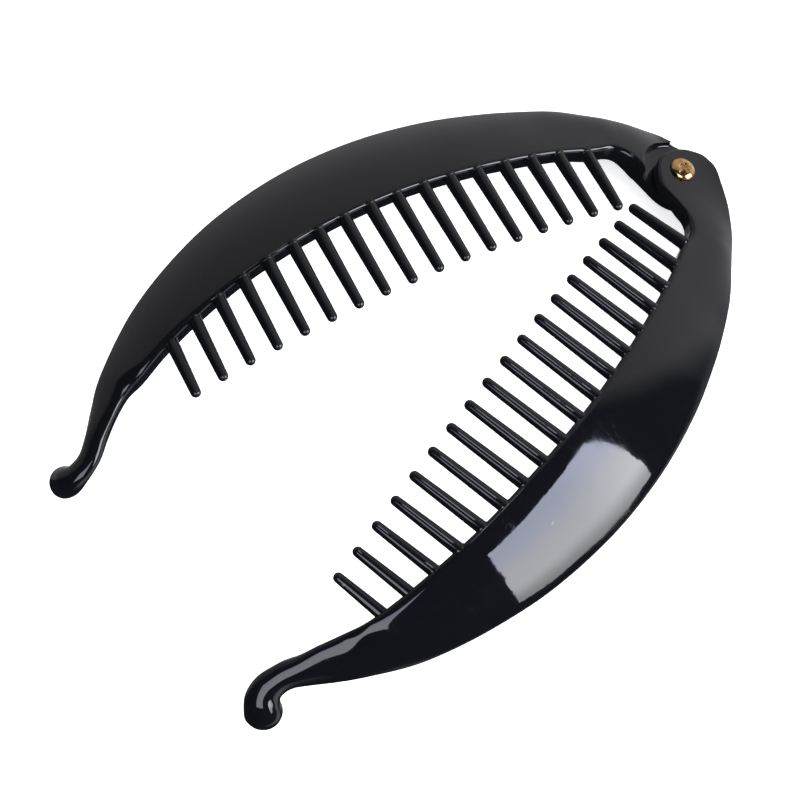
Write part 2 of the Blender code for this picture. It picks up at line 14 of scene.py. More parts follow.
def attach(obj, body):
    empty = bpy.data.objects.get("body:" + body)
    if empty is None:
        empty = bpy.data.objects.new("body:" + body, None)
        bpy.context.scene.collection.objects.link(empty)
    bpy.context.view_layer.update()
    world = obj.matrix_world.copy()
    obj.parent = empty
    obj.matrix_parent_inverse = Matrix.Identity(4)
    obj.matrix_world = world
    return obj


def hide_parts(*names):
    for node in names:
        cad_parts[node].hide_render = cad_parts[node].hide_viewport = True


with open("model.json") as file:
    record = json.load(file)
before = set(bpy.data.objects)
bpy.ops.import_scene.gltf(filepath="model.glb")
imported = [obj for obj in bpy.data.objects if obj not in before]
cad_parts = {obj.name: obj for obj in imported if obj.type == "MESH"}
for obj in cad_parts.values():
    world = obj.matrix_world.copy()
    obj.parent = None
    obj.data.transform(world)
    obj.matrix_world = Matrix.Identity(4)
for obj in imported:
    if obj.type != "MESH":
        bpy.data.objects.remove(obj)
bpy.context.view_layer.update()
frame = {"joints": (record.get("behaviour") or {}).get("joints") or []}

MM = 0.001

# The rivet's axis, and the hinge's plane square to it
RIVET_JOINT = next(joint for joint in frame["joints"] if joint["name"] == "arm_hinge")
HINGE_POINT = np.array(RIVET_JOINT["pos_m"]) / MM
HINGE_AXIS = np.array(RIVET_JOINT["axis"])
HINGE_AHEAD = np.array([-HINGE_AXIS[2], 0.0, HINGE_AXIS[0]])
UP = np.array([0.0, 0.0, 1.0])

# Hinge
OPEN_HALF_ANGLE = 12.4          # each arm's chord from the middle line, in degrees
EAR_THICKNESS = 2.4
LUG_GAP = 0.3                   # between the ear and the tongue
TONGUE_THICKNESS = 2.4
STEP_RADIUS = 8.2               # the tongued arm's face stops at this round step
STEP_FOOT_ROUND = 1.0           # fillet where the step meets the tongue
STEP_LIP_ROUND = 0.6            # rounding of the face's edge along the step
STEP_LIP_SWEEP = 80.0           # degrees of that rounding, before the cutter flares out
STEP_FLARE = 2                  # the cutter's flare, in lip roundings
STEP_FLARE_ABOVE = 0.2          # height of the flare above the ear's top
STEP_CORNER = (-5.0, 7.0)       # ahead and side of the face's outer corner, cut off square to the rim
STEP_CORNER_WAY = (-0.447, -0.894)
CORNER_CUT_HALF_WIDTH = 3.0
CORNER_CUT_LENGTH = 4.0
TONGUE_CUT_RADIUS = 9.0         # the tongue's underside is flat inside this circle
TONGUE_EDGE_ROUND = 0.4         # rounding round the tongue's top
TONGUE_EDGE_STEPS = 3
SHARP_TURN = 50.0               # an edge of a flat is rounded where its faces turn by more degrees than this
FLAT_LEVEL = 0.02               # an edge is on a flat within this height
BORE_CLEARANCE = 3.0            # edges within this distance of the rivet's axis stay sharp
POCKET_RADIUS = 8.3             # hollow under the ear that the tongue turns in
BORE_RADIUS = 1.6
LUG_END_ROUND = 0.15            # rounding of the lugs' back ends
LUG_END_SWEEP = (80.0, 15.0)    # degrees of that rounding, from the end's middle to the first rib
LUG_SIDES = 128
BORE_SIDES = 48
CUT_REACH = 20.0                # a cutter that goes right through reaches this far below the ear's top face
CUT_ABOVE = 8.0                 # and this far above it
SLIVER = 0.002                  # points this close together are one
ARM_SHARP = 40.0                # an arm's shading is sharp where it turns by more degrees than this

# Arm shell
SHELL = 2.1                     # thickness of the face
WALL_THICKNESS = 2.2            # thickness of the inner wall
NARROW_WALL = 0.24              # the wall takes up this share of a narrow rib at most
RIM = 1.6                       # thickness at the outer rim
EDGE_ROUND = 0.7                # rounding where the face meets the inner wall
EDGE_STEPS = 12                 # points round that edge
FACE_RUN = 2.3                  # added to that rounding at the bar, along the face
WALL_RUN = 1.3                  # and down the wall
FACE_RUN_SHARE = 0.62           # the rounding takes up this share of the face at most
WALL_RUN_SHARE = 0.52           # and of the wall
SLOPE_STEP = 0.01               # share of the face over which its slope at the edge is read
WALL_START_SHARE = 0.6          # the section starts this far down the wall
RIM_TOP_ROUND = 0.5
RIM_FOOT_ROUND = 0.55
WALL_BACK_ROUND = 0.7
WALL_FOOT_ROUND = 0.75
RIM_MARGIN = 0.9                # the face's last point lies this far from the rim
NARROW_MARGIN = 0.18            # or this share of a narrow rib
ARC_STEPS = 6                   # points of each small rounding
ARC_ROOM = 0.46                 # a rounding takes up this share of its shorter side at most
STRAIGHT_TURN = 0.02            # a corner that turns by fewer radians is laid out straight
FACE_POINTS = 14
UNDER_SHARES = (0.78, 0.56, 0.36)   # places of the points under the face, as shares of its width
UNDER_WALL = 1.3                # the underside meets the wall this many wall thicknesses in
WALL_FOOT_SHARE = 0.9           # the wall's foot is this many wall thicknesses wide
STATIONS_PER_RIB = 6            # loft stations between one rib and the next

# Bar and ball
BALL_HEADING = (0.25, 0.45, -0.86)  # the bar's way into the ball: along, out and up
BALL_RING_ANGLES = (0.0, 18.0, 36.0, 54.0, 70.0, 82.0, 88.5)    # degrees from its middle to its end
EDGE_GROWTH_START = 92.0        # the inner edge's rounding grows from here to the bar
EDGE_GROWTH_END = 124.0
CRESCENT_HALF_HEIGHT = 2.3      # half the oval's height at the ribs before the bar
OVAL_START = 200.0              # the outline's first point, in degrees round the bar's oval
OVAL_RIM_TOP = 8.0              # and those where its rim begins and ends
OVAL_RIM_FOOT = -22.0

# Teeth
TOOTH_PITCH = 5.93
EARED_TEETH = 18
EARED_FIRST = 14.6              # first tooth's place along the chord
TONGUED_TEETH = 17
TONGUED_FIRST = 17.1            # further by less than half a pitch, so the teeth interleave
TONGUED_ROOT_LEAN = 0.0125      # the tongued arm's roots stand nearer the rivet, more so towards the tip
TOOTH_ROOT_RADIUS = 1.36
TOOTH_TIP_RADIUS = 1.06
TOOTH_ROOT_DEPTH = 1.0          # the root starts this far inside the wall
TOOTH_ROOT_BELOW_EDGE = 1.75
ROOT_DEEPER = 0.5               # the last roots sit deeper and lower, where the edge rounds off
ROOT_LOWER = 1.6
TOOTH_FILLET = 0.15             # where a tooth leaves the wall
HIDDEN_ROOT_TAPER = 0.7         # inside the wall the root starts narrower, to stay under the face
HIDDEN_ROOT_SHARE = 0.6         # and has its full width from this share of its depth
TOOTH_SIDES = 24
TOOTH_TIP_RINGS = 6
TOOTH_FILLET_RINGS = 5
TOOTH_SHAFT_RINGS = 6

# Rivet
RIVET_SHANK_RADIUS = 1.3
RIVET_HEAD_RADIUS = 2.65
RIVET_HEAD_HEIGHT = 1.35
RIVET_DOME_POWER = 2.1          # 2 is an ellipse, more is flatter on top
RIVET_HEAD_CHAMFER = 0.08       # under the head's edge
RIVET_HEAD_GAP = 0.15
RIVET_TAIL_RADIUS = 2.1
RIVET_TAIL_HEIGHT = 0.7
RIVET_TAIL_CHAMFER = 0.35
RIVET_SIDES = 72
RIVET_RINGS = 22                # rings across the head
RIVET_SHARP = 50.0              # degrees, as on the arms
DENT_FADE_POWER = 6             # how late the dents fade out towards the head's edge
RIVET_DENT_COLUMNS = ("ahead", "side", "spread", "depth")
RIVET_DENTS = (                 # punched dents and, with depths below zero, the bumps between them
    (0.0, 0.0, 0.45, 0.42),
    (0.75, -0.45, 0.42, 0.26),
    (-0.55, 0.75, 0.40, 0.22),
    (0.35, 1.0, 0.36, 0.18),
    (-0.9, -0.5, 0.45, -0.16),
    (0.9, 0.6, 0.5, -0.14),
    (-0.2, -1.4, 0.5, -0.12),
    (0.1, 1.8, 0.45, -0.10),
)

# Ribs across the two lugs, in the hinge's plane: ahead of the rivet, and towards the arm's own side.
# The inner rail runs round the end and along the straight front edge, the outer one down the flank.
LUG_COLUMNS = ("inner_ahead", "inner_side", "outer_ahead", "outer_side", "drop", "shell", "wall")
EAR_LUG = (
    (-7.50, 1.0, -7.45, 2.8, 0.0, 2.5, 2.55),
    (-7.10, -0.75, -7.2, 3.6, 0.0, 2.5, 2.55),
    (-6.00, -2.35, -6.75, 4.8, 0.1, 2.5, 2.55),
    (-3.80, -4.2, -6.15, 6.1, 0.35, 2.5, 2.55),
    (-0.30, -5.1, -5.55, 7.6, 0.65, 2.5, 2.55),
    (3.00, -4.3, -4.95, 9.0, 1.0, 2.5, 2.55),
    (5.40, -2.2, -4.3, 10.5, 1.4, 2.5, 2.55),
    (6.95, 0.5, -3.45, 12.05, 1.85, 2.5, 2.60),
    (7.10, 3.2, -2.45, 13.65, 2.35, 2.4, 3.00),
    (7.20, 5.9, -1.35, 15.3, 2.9, 2.3, 3.60),
    (7.60, 8.5, 0.0, 17.0, 3.45, 2.2, 3.50),
    (8.80, 10.6, 1.9, 18.9, 3.95, 2.2, 3.70),
    (10.60, 12.1, 4.4, 21.2, 4.2, 2.2, 4.30),
)
TONGUE_LUG = (
    (-7.10, -0.4, -7.0, 1.6, 0.0, 5.3, 5.35),
    (-6.20, -3.5, -6.7, 3.5, 0.2, 5.3, 5.35),
    (-3.60, -6.1, -6.1, 5.0, 0.6, 5.3, 5.35),
    (0.00, -7.1, -5.4, 6.4, 1.5, 5.3, 5.35),
    (3.50, -6.2, -5.0, 7.9, 2.1, 5.3, 5.35),
    (5.90, -4.0, -5.1, 9.4, 2.9, 5.3, 5.35),
    (7.00, -1.2, -5.2, 11.1, 4.0, 5.3, 5.35),
    (7.10, 2.8, -4.4, 12.8, 4.5, 5.3, 5.35),
    (7.20, 5.9, -3.0, 14.4, 4.5, 5.3, 5.35),
    (7.60, 8.5, -1.1, 16.4, 4.4, 4.3, 4.90),
    (8.80, 10.6, 1.4, 18.7, 4.3, 3.2, 4.20),
    (10.60, 12.1, 4.4, 21.2, 4.2, 2.5, 4.30),
)

# Ribs of the crescent in the arm's own frame: along the chord from the rivet, out from the chord, height.
# The inner columns are the edge over the teeth, the outer ones the rim.
CRESCENT_COLUMNS = ("inner_along", "inner_out", "inner_height", "outer_along", "outer_out", "outer_height",
                    "crown", "lift", "wall", "tip_out", "tip_height")
CRESCENT = (
    (16.0, 10.2, 13.6, 16.5, 23.4, 6.9, 0.6, 1.6, 5.1, -2.3, 11.9),
    (22.5, 11.9, 15.9, 23.0, 26.4, 7.5, 1.0, 0.5, 5.4, -2.1, 14.9),
    (31.0, 13.5, 18.6, 31.0, 29.3, 8.6, 1.3, 0.0, 5.3, -2.0, 18.3),
    (42.0, 15.0, 21.7, 42.0, 32.3, 10.2, 1.4, 0.0, 5.1, -1.8, 21.9),
    (55.0, 16.1, 24.5, 55.0, 34.3, 11.9, 1.5, 0.0, 5.1, -1.6, 24.9),
    (68.0, 16.3, 26.2, 68.0, 34.7, 13.3, 1.5, 0.0, 5.3, -1.5, 26.6),
    (80.0, 15.7, 26.8, 80.0, 33.6, 14.2, 1.5, 0.0, 5.6, -1.5, 27.0),
    (92.0, 14.4, 26.2, 92.0, 31.1, 14.6, 1.4, 0.0, 6.0, -1.5, 26.2),
    (103.0, 12.2, 24.7, 103.0, 27.2, 14.4, 1.2, 0.0, 6.4, -1.5, 24.5),
    (112.0, 9.8, 22.7, 112.0, 22.9, 13.6, 1.0, 0.0, 6.9, -1.6, 22.4),
    (118.5, 7.4, 20.8, 118.7, 18.6, 12.4, 0.8, 0.0, 7.2, -1.7, 20.6),
)

# Spine of the bar in the same frame, with an oval across it whose long way is tilted down outwards, in
# degrees. Roundness 1 is a pure oval, less keeps some of the shell's section. The two tips differ a little.
TAIL_COLUMNS = ("along", "out", "height", "half_long", "half_short", "tilt", "crown", "wall", "under",
                "roundness")
EARED_TAIL = (
    (124.0, 8.65, 14.5, 5.5, 2.3, 42.0, 0.7, 6.2, 3.0, 0.0),
    (128.0, 5.55, 13.0, 4.7, 2.1, 45.0, 0.5, 5.2, 3.4, 0.15),
    (131.5, 2.8, 11.4, 3.6, 2.0, 49.0, 0.4, 4.6, 3.6, 0.45),
    (134.5, 0.15, 9.8, 3.05, 2.1, 53.0, 0.3, 4.6, 3.8, 0.85),
    (137.2, -1.3, 7.9, 3.3, 2.7, 55.0, 0.3, 5.0, 4.0, 1.0),
    (139.3, -1.1, 6.0, 3.6, 3.4, 50.0, 0.3, 5.0, 4.0, 1.0),
)
EARED_BALL = (140.5, 0.05, 3.8)     # along, out and radius; the ball rests on the table
TONGUED_TAIL = (
    (124.0, 9.75, 14.3, 4.8, 2.3, 42.0, 0.7, 5.4, 3.0, 0.0),
    (128.0, 6.5, 12.8, 3.8, 2.1, 45.0, 0.5, 4.2, 3.2, 0.15),
    (131.5, 3.25, 11.2, 2.9, 1.85, 49.0, 0.4, 3.8, 3.2, 0.45),
    (134.4, 0.2, 9.5, 2.6, 1.85, 53.0, 0.3, 4.0, 3.4, 0.85),
    (137.1, -1.15, 7.6, 2.8, 2.25, 55.0, 0.3, 4.6, 3.6, 1.0),
    (139.0, -1.15, 5.7, 3.05, 2.85, 50.0, 0.3, 4.6, 3.6, 1.0),
)
TONGUED_BALL = (139.55, -0.2, 3.2)

# Marks of use: the spans over which a noise or a distance turns into a mark
SMUDGE_SPAN = (0.42, 0.72)
SCRATCH_TURN = 0.6              # the scratches' way, in radians
SCRATCH_STRETCH = (1.0, 0.06, 1.0)
SCRATCH_SPAN = (0.002, 0.007)
SCRATCH_PATCH_SPAN = (0.5, 0.62)
SPECK_SPAN = (0.05, 0.11)
CLEAN_SHARE = 0.985             # share of the cells that have no speck

# Black plastic: its colours, its skin and marks, how much each mark dulls it, and depths in metres
PLASTIC_BLACK = (0.0026, 0.0028, 0.0036, 1.0)
SPECK_GREY = (0.06, 0.06, 0.066, 1.0)
PLASTIC_ROUGHNESS = 0.035
PLASTIC_IOR = 1.5
PLASTIC_SKIN = {"Wave Scale": 150.0, "Ripple Scale": 900.0, "Ripple Share": 0.10}
PLASTIC_MARKS = {"Smudge Scale": 75.0, "Scratch Scale": 300.0, "Speck Scale": 260.0}
PLASTIC_DULLING = {"Smudges": 0.05, "Scratches": 0.12, "Specks": 0.15}
PLASTIC_SKIN_DEPTH = 0.00003
SPECK_DEPTH = 0.00003
SPECK_STRENGTH = 0.6

# Brass, in the same way, with a brown patch on the head: partly tarnish, partly painted shade that dims its
# highlights there
BRASS_BRIGHT = (0.86, 0.56, 0.26, 1.0)
BRASS_TARNISH_AND_SHADE = (0.42, 0.19, 0.055, 1.0)
BRASS_PIT = (0.10, 0.05, 0.02, 1.0)
TARNISH_AND_SHADE_SHIFT = (-0.2, -0.7, 0.0)   # the middle of the brown patch of tarnish and painted shade, from the head's
TARNISH_AND_SHADE_REACH = 2.2
BRASS_ROUGHNESS = 0.14
BRASS_SKIN = {"Wave Scale": 900.0, "Ripple Scale": 3200.0, "Ripple Share": 0.3}
BRASS_MARKS = {"Smudge Scale": 700.0, "Scratch Scale": 1500.0, "Speck Scale": 1600.0}
BRASS_DULLING = {"Smudges": 0.16, "Scratches": 0.15}
BRASS_SKIN_DEPTH = 0.00012

# Numbers of the Mix node's two colour inputs and of its colour output
MIX_FIRST = 6
MIX_SECOND = 7
MIX_RESULT = 2

# Camera
CAMERA_PLACE = (-229.99, -179.33, 761.02)
CAMERA_TARGET = (-10.50, -1.48, 12.0)
CAMERA_ROLL = 10.26
CAMERA_LENS = 184.73
CAMERA_CLIP = (0.05, 20.0)      # metres
SENSOR_WIDTH = 36.0

# Softboxes: direction from the clip in degrees, distance and sides in metres, roll in degrees, brightness,
# the share of it that their lower and far edges have, and how much of the far edge slants away
SOFTBOX_COLUMNS = ("name", "azimuth", "elevation", "distance", "width", "height", "roll", "brightness",
                   "low_glow", "far_glow", "slant")
SOFTBOXES = (
    ("side_softbox", -62.5, 22.5, 1.0, 0.737, 0.77, -11.0, 9.6, 0.5, 1.25, 0.103),
    ("tail_softbox", -146.0, 41.0, 1.0, 0.72, 0.66, 12.0, 4.2, 1.0, 1.0, 0.0),
    ("overhead_strip", 15.0, 82.0, 1.0, 0.10, 0.30, 0.0, 5.0, 1.0, 1.0, 0.0),
)
SOFTBOX_AIM = (-0.0055, -0.043, 0.021)
SOFTBOX_LOW_SPAN = (0.0, 0.3)   # shares of a softbox's height or width over which its cloth changes
SOFTBOX_FAR_SPAN = (0.5, 1.0)
SOFTBOX_COOL_SPAN = (0.45, 0.9)
SOFTBOX_WARM = (0.94, 0.95, 1.0, 1.0)
SOFTBOX_COOL = (0.78, 0.84, 1.05, 1.0)

# Table and the wide light that whitens it, in metres
TABLE_SIDE = 12.0
TABLE_PALE = (0.92, 0.92, 0.92, 1.0)
TABLE_ROUGHNESS = 0.9
TABLE_GLOW_WHITE = (1.0, 1.0, 1.0, 1.0)
TABLE_GLOW = 0.6                # lightens the shadows on the table
TABLE_LIGHT_HEIGHT = 3.5
TABLE_LIGHT_SIDE = 8.0
TABLE_LIGHT_BRIGHTNESS = 1.7

# The room that the gloss mirrors: a pale wall that brightens towards a window, a dark one, and a glow low
# down. Ways are directions, and edges the spans of their cosines over which a side of the room begins.
PALE_WALL_WAY = (0.7071, 0.7071, 0.0)
PALE_WALL_EDGE = (0.20, 0.34)
WINDOW_WAY = (1.0, 0.0, 0.0)
WINDOW_SPAN = (-0.2, 0.95)
PALE_WALL_TONES = ((0.0, 0.27), (0.61, 0.42), (0.80, 0.49), (1.0, 0.84))    # place in the window's span, tone
PALE_WALL_TINT = (0.98, 0.97, 1.0)
DARK_WALL = (0.020, 0.023, 0.035, 1.0)
LOW_GLOW_WAY = (0.259, -0.966, 0.0)
LOW_GLOW_EDGE = (0.60, 0.85)
LOW_GLOW_DEPTH = (0.10, 0.22)
DOWN_WAY = (0.0, 0.0, -1.0)
LOW_GLOW = (0.90, 0.92, 1.0, 1.0)
BACKDROP = (0.94, 0.94, 0.94, 1.0)

# Places on the arm


def unit(vector):
    return vector / np.linalg.norm(vector)


def lug_point(ahead, side, depth, hand):
    """Point in the hinge's plane: ahead to the tips, side towards its own arm, depth below the ear's top."""
    return HINGE_POINT + HINGE_AHEAD * ahead + np.array([0.0, hand * side, 0.0]) - HINGE_AXIS * depth


def chord_point(along, out, height, hand):
    """Point in the arm's frame: along the chord from the rivet, out from it, and height above the table."""
    half = math.radians(OPEN_HALF_ANGLE)
    x = HINGE_POINT[0] - along * math.cos(half) + out * math.sin(half)
    y = hand * (along * math.sin(half) + out * math.cos(half))
    return np.array([x, y, height])


def make_rib(inner, outer, crown, lift, shell, rim, wall, growth, roundness, half_height, down):
    """One row of numbers for a rib, so that stations between ribs are blends of such rows."""
    sizes = [crown, lift, shell, rim, wall, growth, roundness, half_height]
    return np.concatenate([inner, outer, sizes, down])


def lug_ribs(hand, table):
    """Ribs across the ear or the tongue; the first is set back by the rounding of the lug's end."""
    ribs = []
    for number, row in enumerate(table):
        value = dict(zip(LUG_COLUMNS, row))
        setback = LUG_END_ROUND if number == 0 else 0.0
        inner = lug_point(value["inner_ahead"] + setback, value["inner_side"], 0.0, hand)
        outer = lug_point(value["outer_ahead"] + setback, value["outer_side"], value["drop"], hand)
        rim = max(value["shell"] - value["drop"], RIM)
        ribs.append(make_rib(inner, outer, 0.0, value["drop"], value["shell"], rim, value["wall"], 0.0,
                             0.0, CRESCENT_HALF_HEIGHT, -HINGE_AXIS))
    return ribs


def edge_growth(along):
    """How far the inner edge's rounding has grown, from 0 along the comb to 1 at the bar."""
    share = min(max((along - EDGE_GROWTH_START) / (EDGE_GROWTH_END - EDGE_GROWTH_START), 0.0), 1.0)
    return share * share * (3 - 2 * share)


def crescent_ribs(hand):
    """Ribs across the crescent; the first still leans with the rivet."""
    ribs = []
    for number, row in enumerate(CRESCENT):
        value = dict(zip(CRESCENT_COLUMNS, row))
        inner = chord_point(value["inner_along"], value["inner_out"], value["inner_height"], hand)
        outer = chord_point(value["outer_along"], value["outer_out"], value["outer_height"], hand)
        down = unit(-UP - HINGE_AXIS) if number == 0 else -UP
        ribs.append(make_rib(inner, outer, value["crown"], value["lift"], SHELL, RIM, value["wall"],
                             edge_growth(value["inner_along"]), 0.0, CRESCENT_HALF_HEIGHT, down))
    return ribs


def oval_axes(forward, tilt):
    """Long and short way of the bar's oval, the long way tilted down outwards about the spine."""
    side = unit(np.cross(UP, forward))
    if side[1] < 0:
        side = -side
    top = np.cross(forward, side)
    if top[2] < 0:
        top = -top
    angle = math.radians(tilt)
    return side * math.cos(angle) - top * math.sin(angle), side * math.sin(angle) + top * math.cos(angle)


def tail_rib(place, long_way, short_way, value, hand):
    """Rib across the bar: its wall drops straight down, and squares to the spine as the bar rounds off."""
    across = long_way * value["half_long"]
    inner, outer = chord_point(*(place - across), hand), chord_point(*(place + across), hand)
    square = chord_point(0.0, 0.0, 0.0, hand) - chord_point(*short_way, hand)
    down = unit(-UP * (1 - value["roundness"]) + square * value["roundness"])
    return make_rib(inner, outer, value["crown"], 0.0, value["under"], RIM, value["wall"], 1.0,
                    value["roundness"], value["half_short"], down)


def tail_ribs(table, ball_row, hand):
    """Ribs across the bar and the ball."""
    rows = [dict(zip(TAIL_COLUMNS, row)) for row in table]
    ball, ball_radius = np.array(ball_row), ball_row[2]
    heading = unit(np.array(BALL_HEADING))
    spine = [np.array([row["along"], row["out"], row["height"]]) for row in rows] + [ball]
    ribs = []
    for number, row in enumerate(rows):
        forward = unit(spine[number + 1] - spine[max(number - 1, 0)])
        long_way, short_way = oval_axes(forward, row["tilt"])
        ribs.append(tail_rib(spine[number], long_way, short_way, row, hand))
    long_way, short_way = oval_axes(heading, rows[-1]["tilt"])
    for angle in np.radians(BALL_RING_ANGLES):
        radius = ball_radius * math.cos(angle)
        place = ball + heading * ball_radius * math.sin(angle)
        circle = rows[-1] | {"half_long": radius, "half_short": radius}
        ribs.append(tail_rib(place, long_way, short_way, circle, hand))
    return ribs


def ball_end(ball_row, hand):
    """Last point of the ball, where the loft closes."""
    return chord_point(*(np.array(ball_row) + unit(np.array(BALL_HEADING)) * ball_row[2]), hand)


def smooth_stations(ribs, steps):
    """Catmull-Rom stations through the ribs."""
    padded = [2 * ribs[0] - ribs[1]] + list(ribs) + [2 * ribs[-1] - ribs[-2]]
    stations = []
    for k in range(1, len(padded) - 2):
        p0, p1, p2, p3 = padded[k - 1:k + 3]
        for step in range(steps):
            t = step / steps
            stations.append(0.5 * (2 * p1 + (p2 - p0) * t + (2 * p0 - 5 * p1 + 4 * p2 - p3) * t * t
                                   + (3 * p1 - p0 - 3 * p2 + p3) * t ** 3))
    stations.append(ribs[-1])
    return stations


# The arm's section


def rounded_outline(corners):
    """Points of a closed outline through (place, radius) corners, with an arc where the radius isn't zero."""
    points = []
    count = len(corners)
    for k, (place, radius) in enumerate(corners):
        if radius == 0:
            points.append(place)
            continue
        before = corners[k - 1][0] - place
        after = corners[(k + 1) % count][0] - place
        room = ARC_ROOM * min(np.linalg.norm(before), np.linalg.norm(after))
        before, after = unit(before), unit(after)
        half = 0.5 * math.acos(max(-1.0, min(1.0, float(before @ after))))
        reach = min(radius / math.tan(half), room)
        turn = math.pi - 2 * half
        if turn < STRAIGHT_TURN:
            points += [place + before * reach * (1 - 2 * s) for s in np.linspace(0, 1, ARC_STEPS)]
            continue
        centre = place + unit(before + after) * reach / math.cos(half)
        start, end = place + before * reach - centre, place + after * reach - centre
        for share in np.linspace(0, 1, ARC_STEPS):
            mix = math.sin((1 - share) * turn) * start + math.sin(share * turn) * end
            points.append(centre + mix / math.sin(turn))
    return np.array(points)


def inner_edge(inner, down, top, face_run, wall_run, width):
    """Arc from the wall to the face round their edge, as a conic with its own run on each of the two."""
    start, end = inner + down * wall_run, top(face_run / width)
    slope = unit(top(face_run / width - SLOPE_STEP) - end)
    between = start - end
    turn = float(slope @ down)
    reach = (between @ slope - turn * (between @ down)) / (1 - turn * turn)
    corner = end + slope * reach
    weight = math.sqrt(0.5 * (1 - turn))
    points = []
    for t in np.linspace(0, 1, EDGE_STEPS):
        shares = np.array([(1 - t) ** 2, 2 * weight * t * (1 - t), t * t])
        points.append((shares[0] * start + shares[1] * corner + shares[2] * end) / shares.sum())
    return points


def section_points(station):
    """Closed outline of one rib: up the inner wall, over the face to the rim, and back under it."""
    inner, outer = station[0:3], station[3:6]
    crown, lift, shell, rim, wall, growth, roundness, half_height = station[6:14]
    down = unit(station[14:17])
    across = outer - inner
    width = np.linalg.norm(across)
    across = across / width
    normal = unit(-down - np.dot(-down, across) * across)
    wall_thick = min(WALL_THICKNESS, NARROW_WALL * width)
    run = EDGE_ROUND / math.tan(0.5 * math.acos(float(across @ down)))
    face_run = min(run + growth * FACE_RUN, FACE_RUN_SHARE * width)
    wall_run = min(run + growth * WALL_RUN, WALL_RUN_SHARE * wall)
    margin = min(RIM_MARGIN / width, NARROW_MARGIN)

    def top(share):
        bump = 4 * crown * share * (1 - share) + lift * (share - share ** 3)
        return inner + across * width * share + normal * bump

    def under(share):
        depth = rim + (shell - rim) * (1 - share) - 4 * crown * share * (1 - share)
        return inner + across * width * share - normal * depth

    corners = [(inner + down * WALL_START_SHARE * wall, 0)]
    corners += [(place, 0) for place in inner_edge(inner, down, top, face_run, wall_run, width)]
    corners += [(top(share), 0) for share in np.linspace(face_run / width, 1 - margin, FACE_POINTS + 1)[1:]]
    corners += [(outer, RIM_TOP_ROUND), (outer - normal * rim, RIM_FOOT_ROUND)]
    corners += [(under(share), 0) for share in UNDER_SHARES]
    corners += [(under(wall_thick / width * UNDER_WALL), WALL_BACK_ROUND),
                (inner + across * wall_thick * WALL_FOOT_SHARE + down * wall, WALL_FOOT_ROUND),
                (inner + down * wall, WALL_FOOT_ROUND)]
    points = rounded_outline(corners)
    if roundness > 0:
        rim_top = 1 + EDGE_STEPS + FACE_POINTS
        marks = [0, rim_top, rim_top + 2 * ARC_STEPS, len(points)]
        turns = [OVAL_START, OVAL_RIM_TOP, OVAL_RIM_FOOT, OVAL_START - 360.0]
        angles = np.radians(np.interp(np.arange(len(points)), marks, turns))
        oval = (0.5 * (inner + outer) + np.outer(np.cos(angles), across) * 0.5 * width
                + np.outer(np.sin(angles), normal) * half_height)
        share = min(roundness, 1.0)
        points = points * (1 - share) + oval * share
    return points


def lug_end(outline, down):
    """Outlines that dome the lug's back end, from the smallest to the one before the first rib."""
    centre = outline.mean(axis=0)
    across = unit(np.cross(HINGE_AHEAD, down))
    local = outline - centre
    wide, deep = local @ across, local @ -down
    half_wide, half_deep = np.abs(wide).max(), np.abs(deep).max()
    rings = []
    for angle in np.radians(np.linspace(*LUG_END_SWEEP, ARC_STEPS)):
        inset = LUG_END_ROUND * (1 - math.cos(angle))
        back = LUG_END_ROUND * math.sin(angle)
        rings.append(centre - HINGE_AHEAD * back + np.outer(wide * (1 - inset / half_wide), across)
                     - np.outer(deep * (1 - inset / half_deep), down))
    return rings


def bridge(mesh, rings):
    """Faces that join each ring of points to the next."""
    faces = []
    for first, second in zip(rings[:-1], rings[1:]):
        for k in range(len(first)):
            after = (k + 1) % len(first)
            faces.append(mesh.faces.new((first[k], first[after], second[after], second[k])))
    return faces


def fan(mesh, place, ring):
    """Faces that join one new point to a ring."""
    pole = mesh.verts.new(place)
    return [mesh.faces.new((pole, ring[k], ring[(k + 1) % len(ring)])) for k in range(len(ring))]


def loft(outlines, end_pole):
    """Closed mesh through the outlines, with a fan at each end."""
    mesh = bmesh.new()
    rings = [[mesh.verts.new(Vector(point * MM)) for point in outline] for outline in outlines]
    bridge(mesh, rings)
    fan(mesh, sum((vert.co for vert in rings[0]), Vector()) / len(rings[0]), rings[0])
    fan(mesh, Vector(end_pole * MM), rings[-1])
    bmesh.ops.recalc_face_normals(mesh, faces=mesh.faces)
    return mesh


def arm_shell(hand, lug, tail, ball_row):
    """Closed mesh of an arm from its lug's end to its ball, without the teeth and the cuts."""
    ribs = lug_ribs(hand, lug) + crescent_ribs(hand) + tail_ribs(tail, ball_row, hand)
    outlines = [section_points(station) for station in smooth_stations(ribs, STATIONS_PER_RIB)]
    return loft(lug_end(outlines[0], -HINGE_AXIS) + outlines, ball_end(ball_row, hand))


# Teeth


def at_place(along, column):
    """Value of a crescent column at a place along the chord, by a cubic through the four nearest ribs."""
    places = [row[0] for row in CRESCENT]
    values = [row[CRESCENT_COLUMNS.index(column)] for row in CRESCENT]
    first = max(0, min(len(places) - 4, int(np.searchsorted(places, along)) - 2))
    total = 0.0
    for k in range(first, first + 4):
        term = values[k]
        for other in range(first, first + 4):
            if other != k:
                term *= (along - places[other]) / (places[k] - places[other])
        total += term
    return total


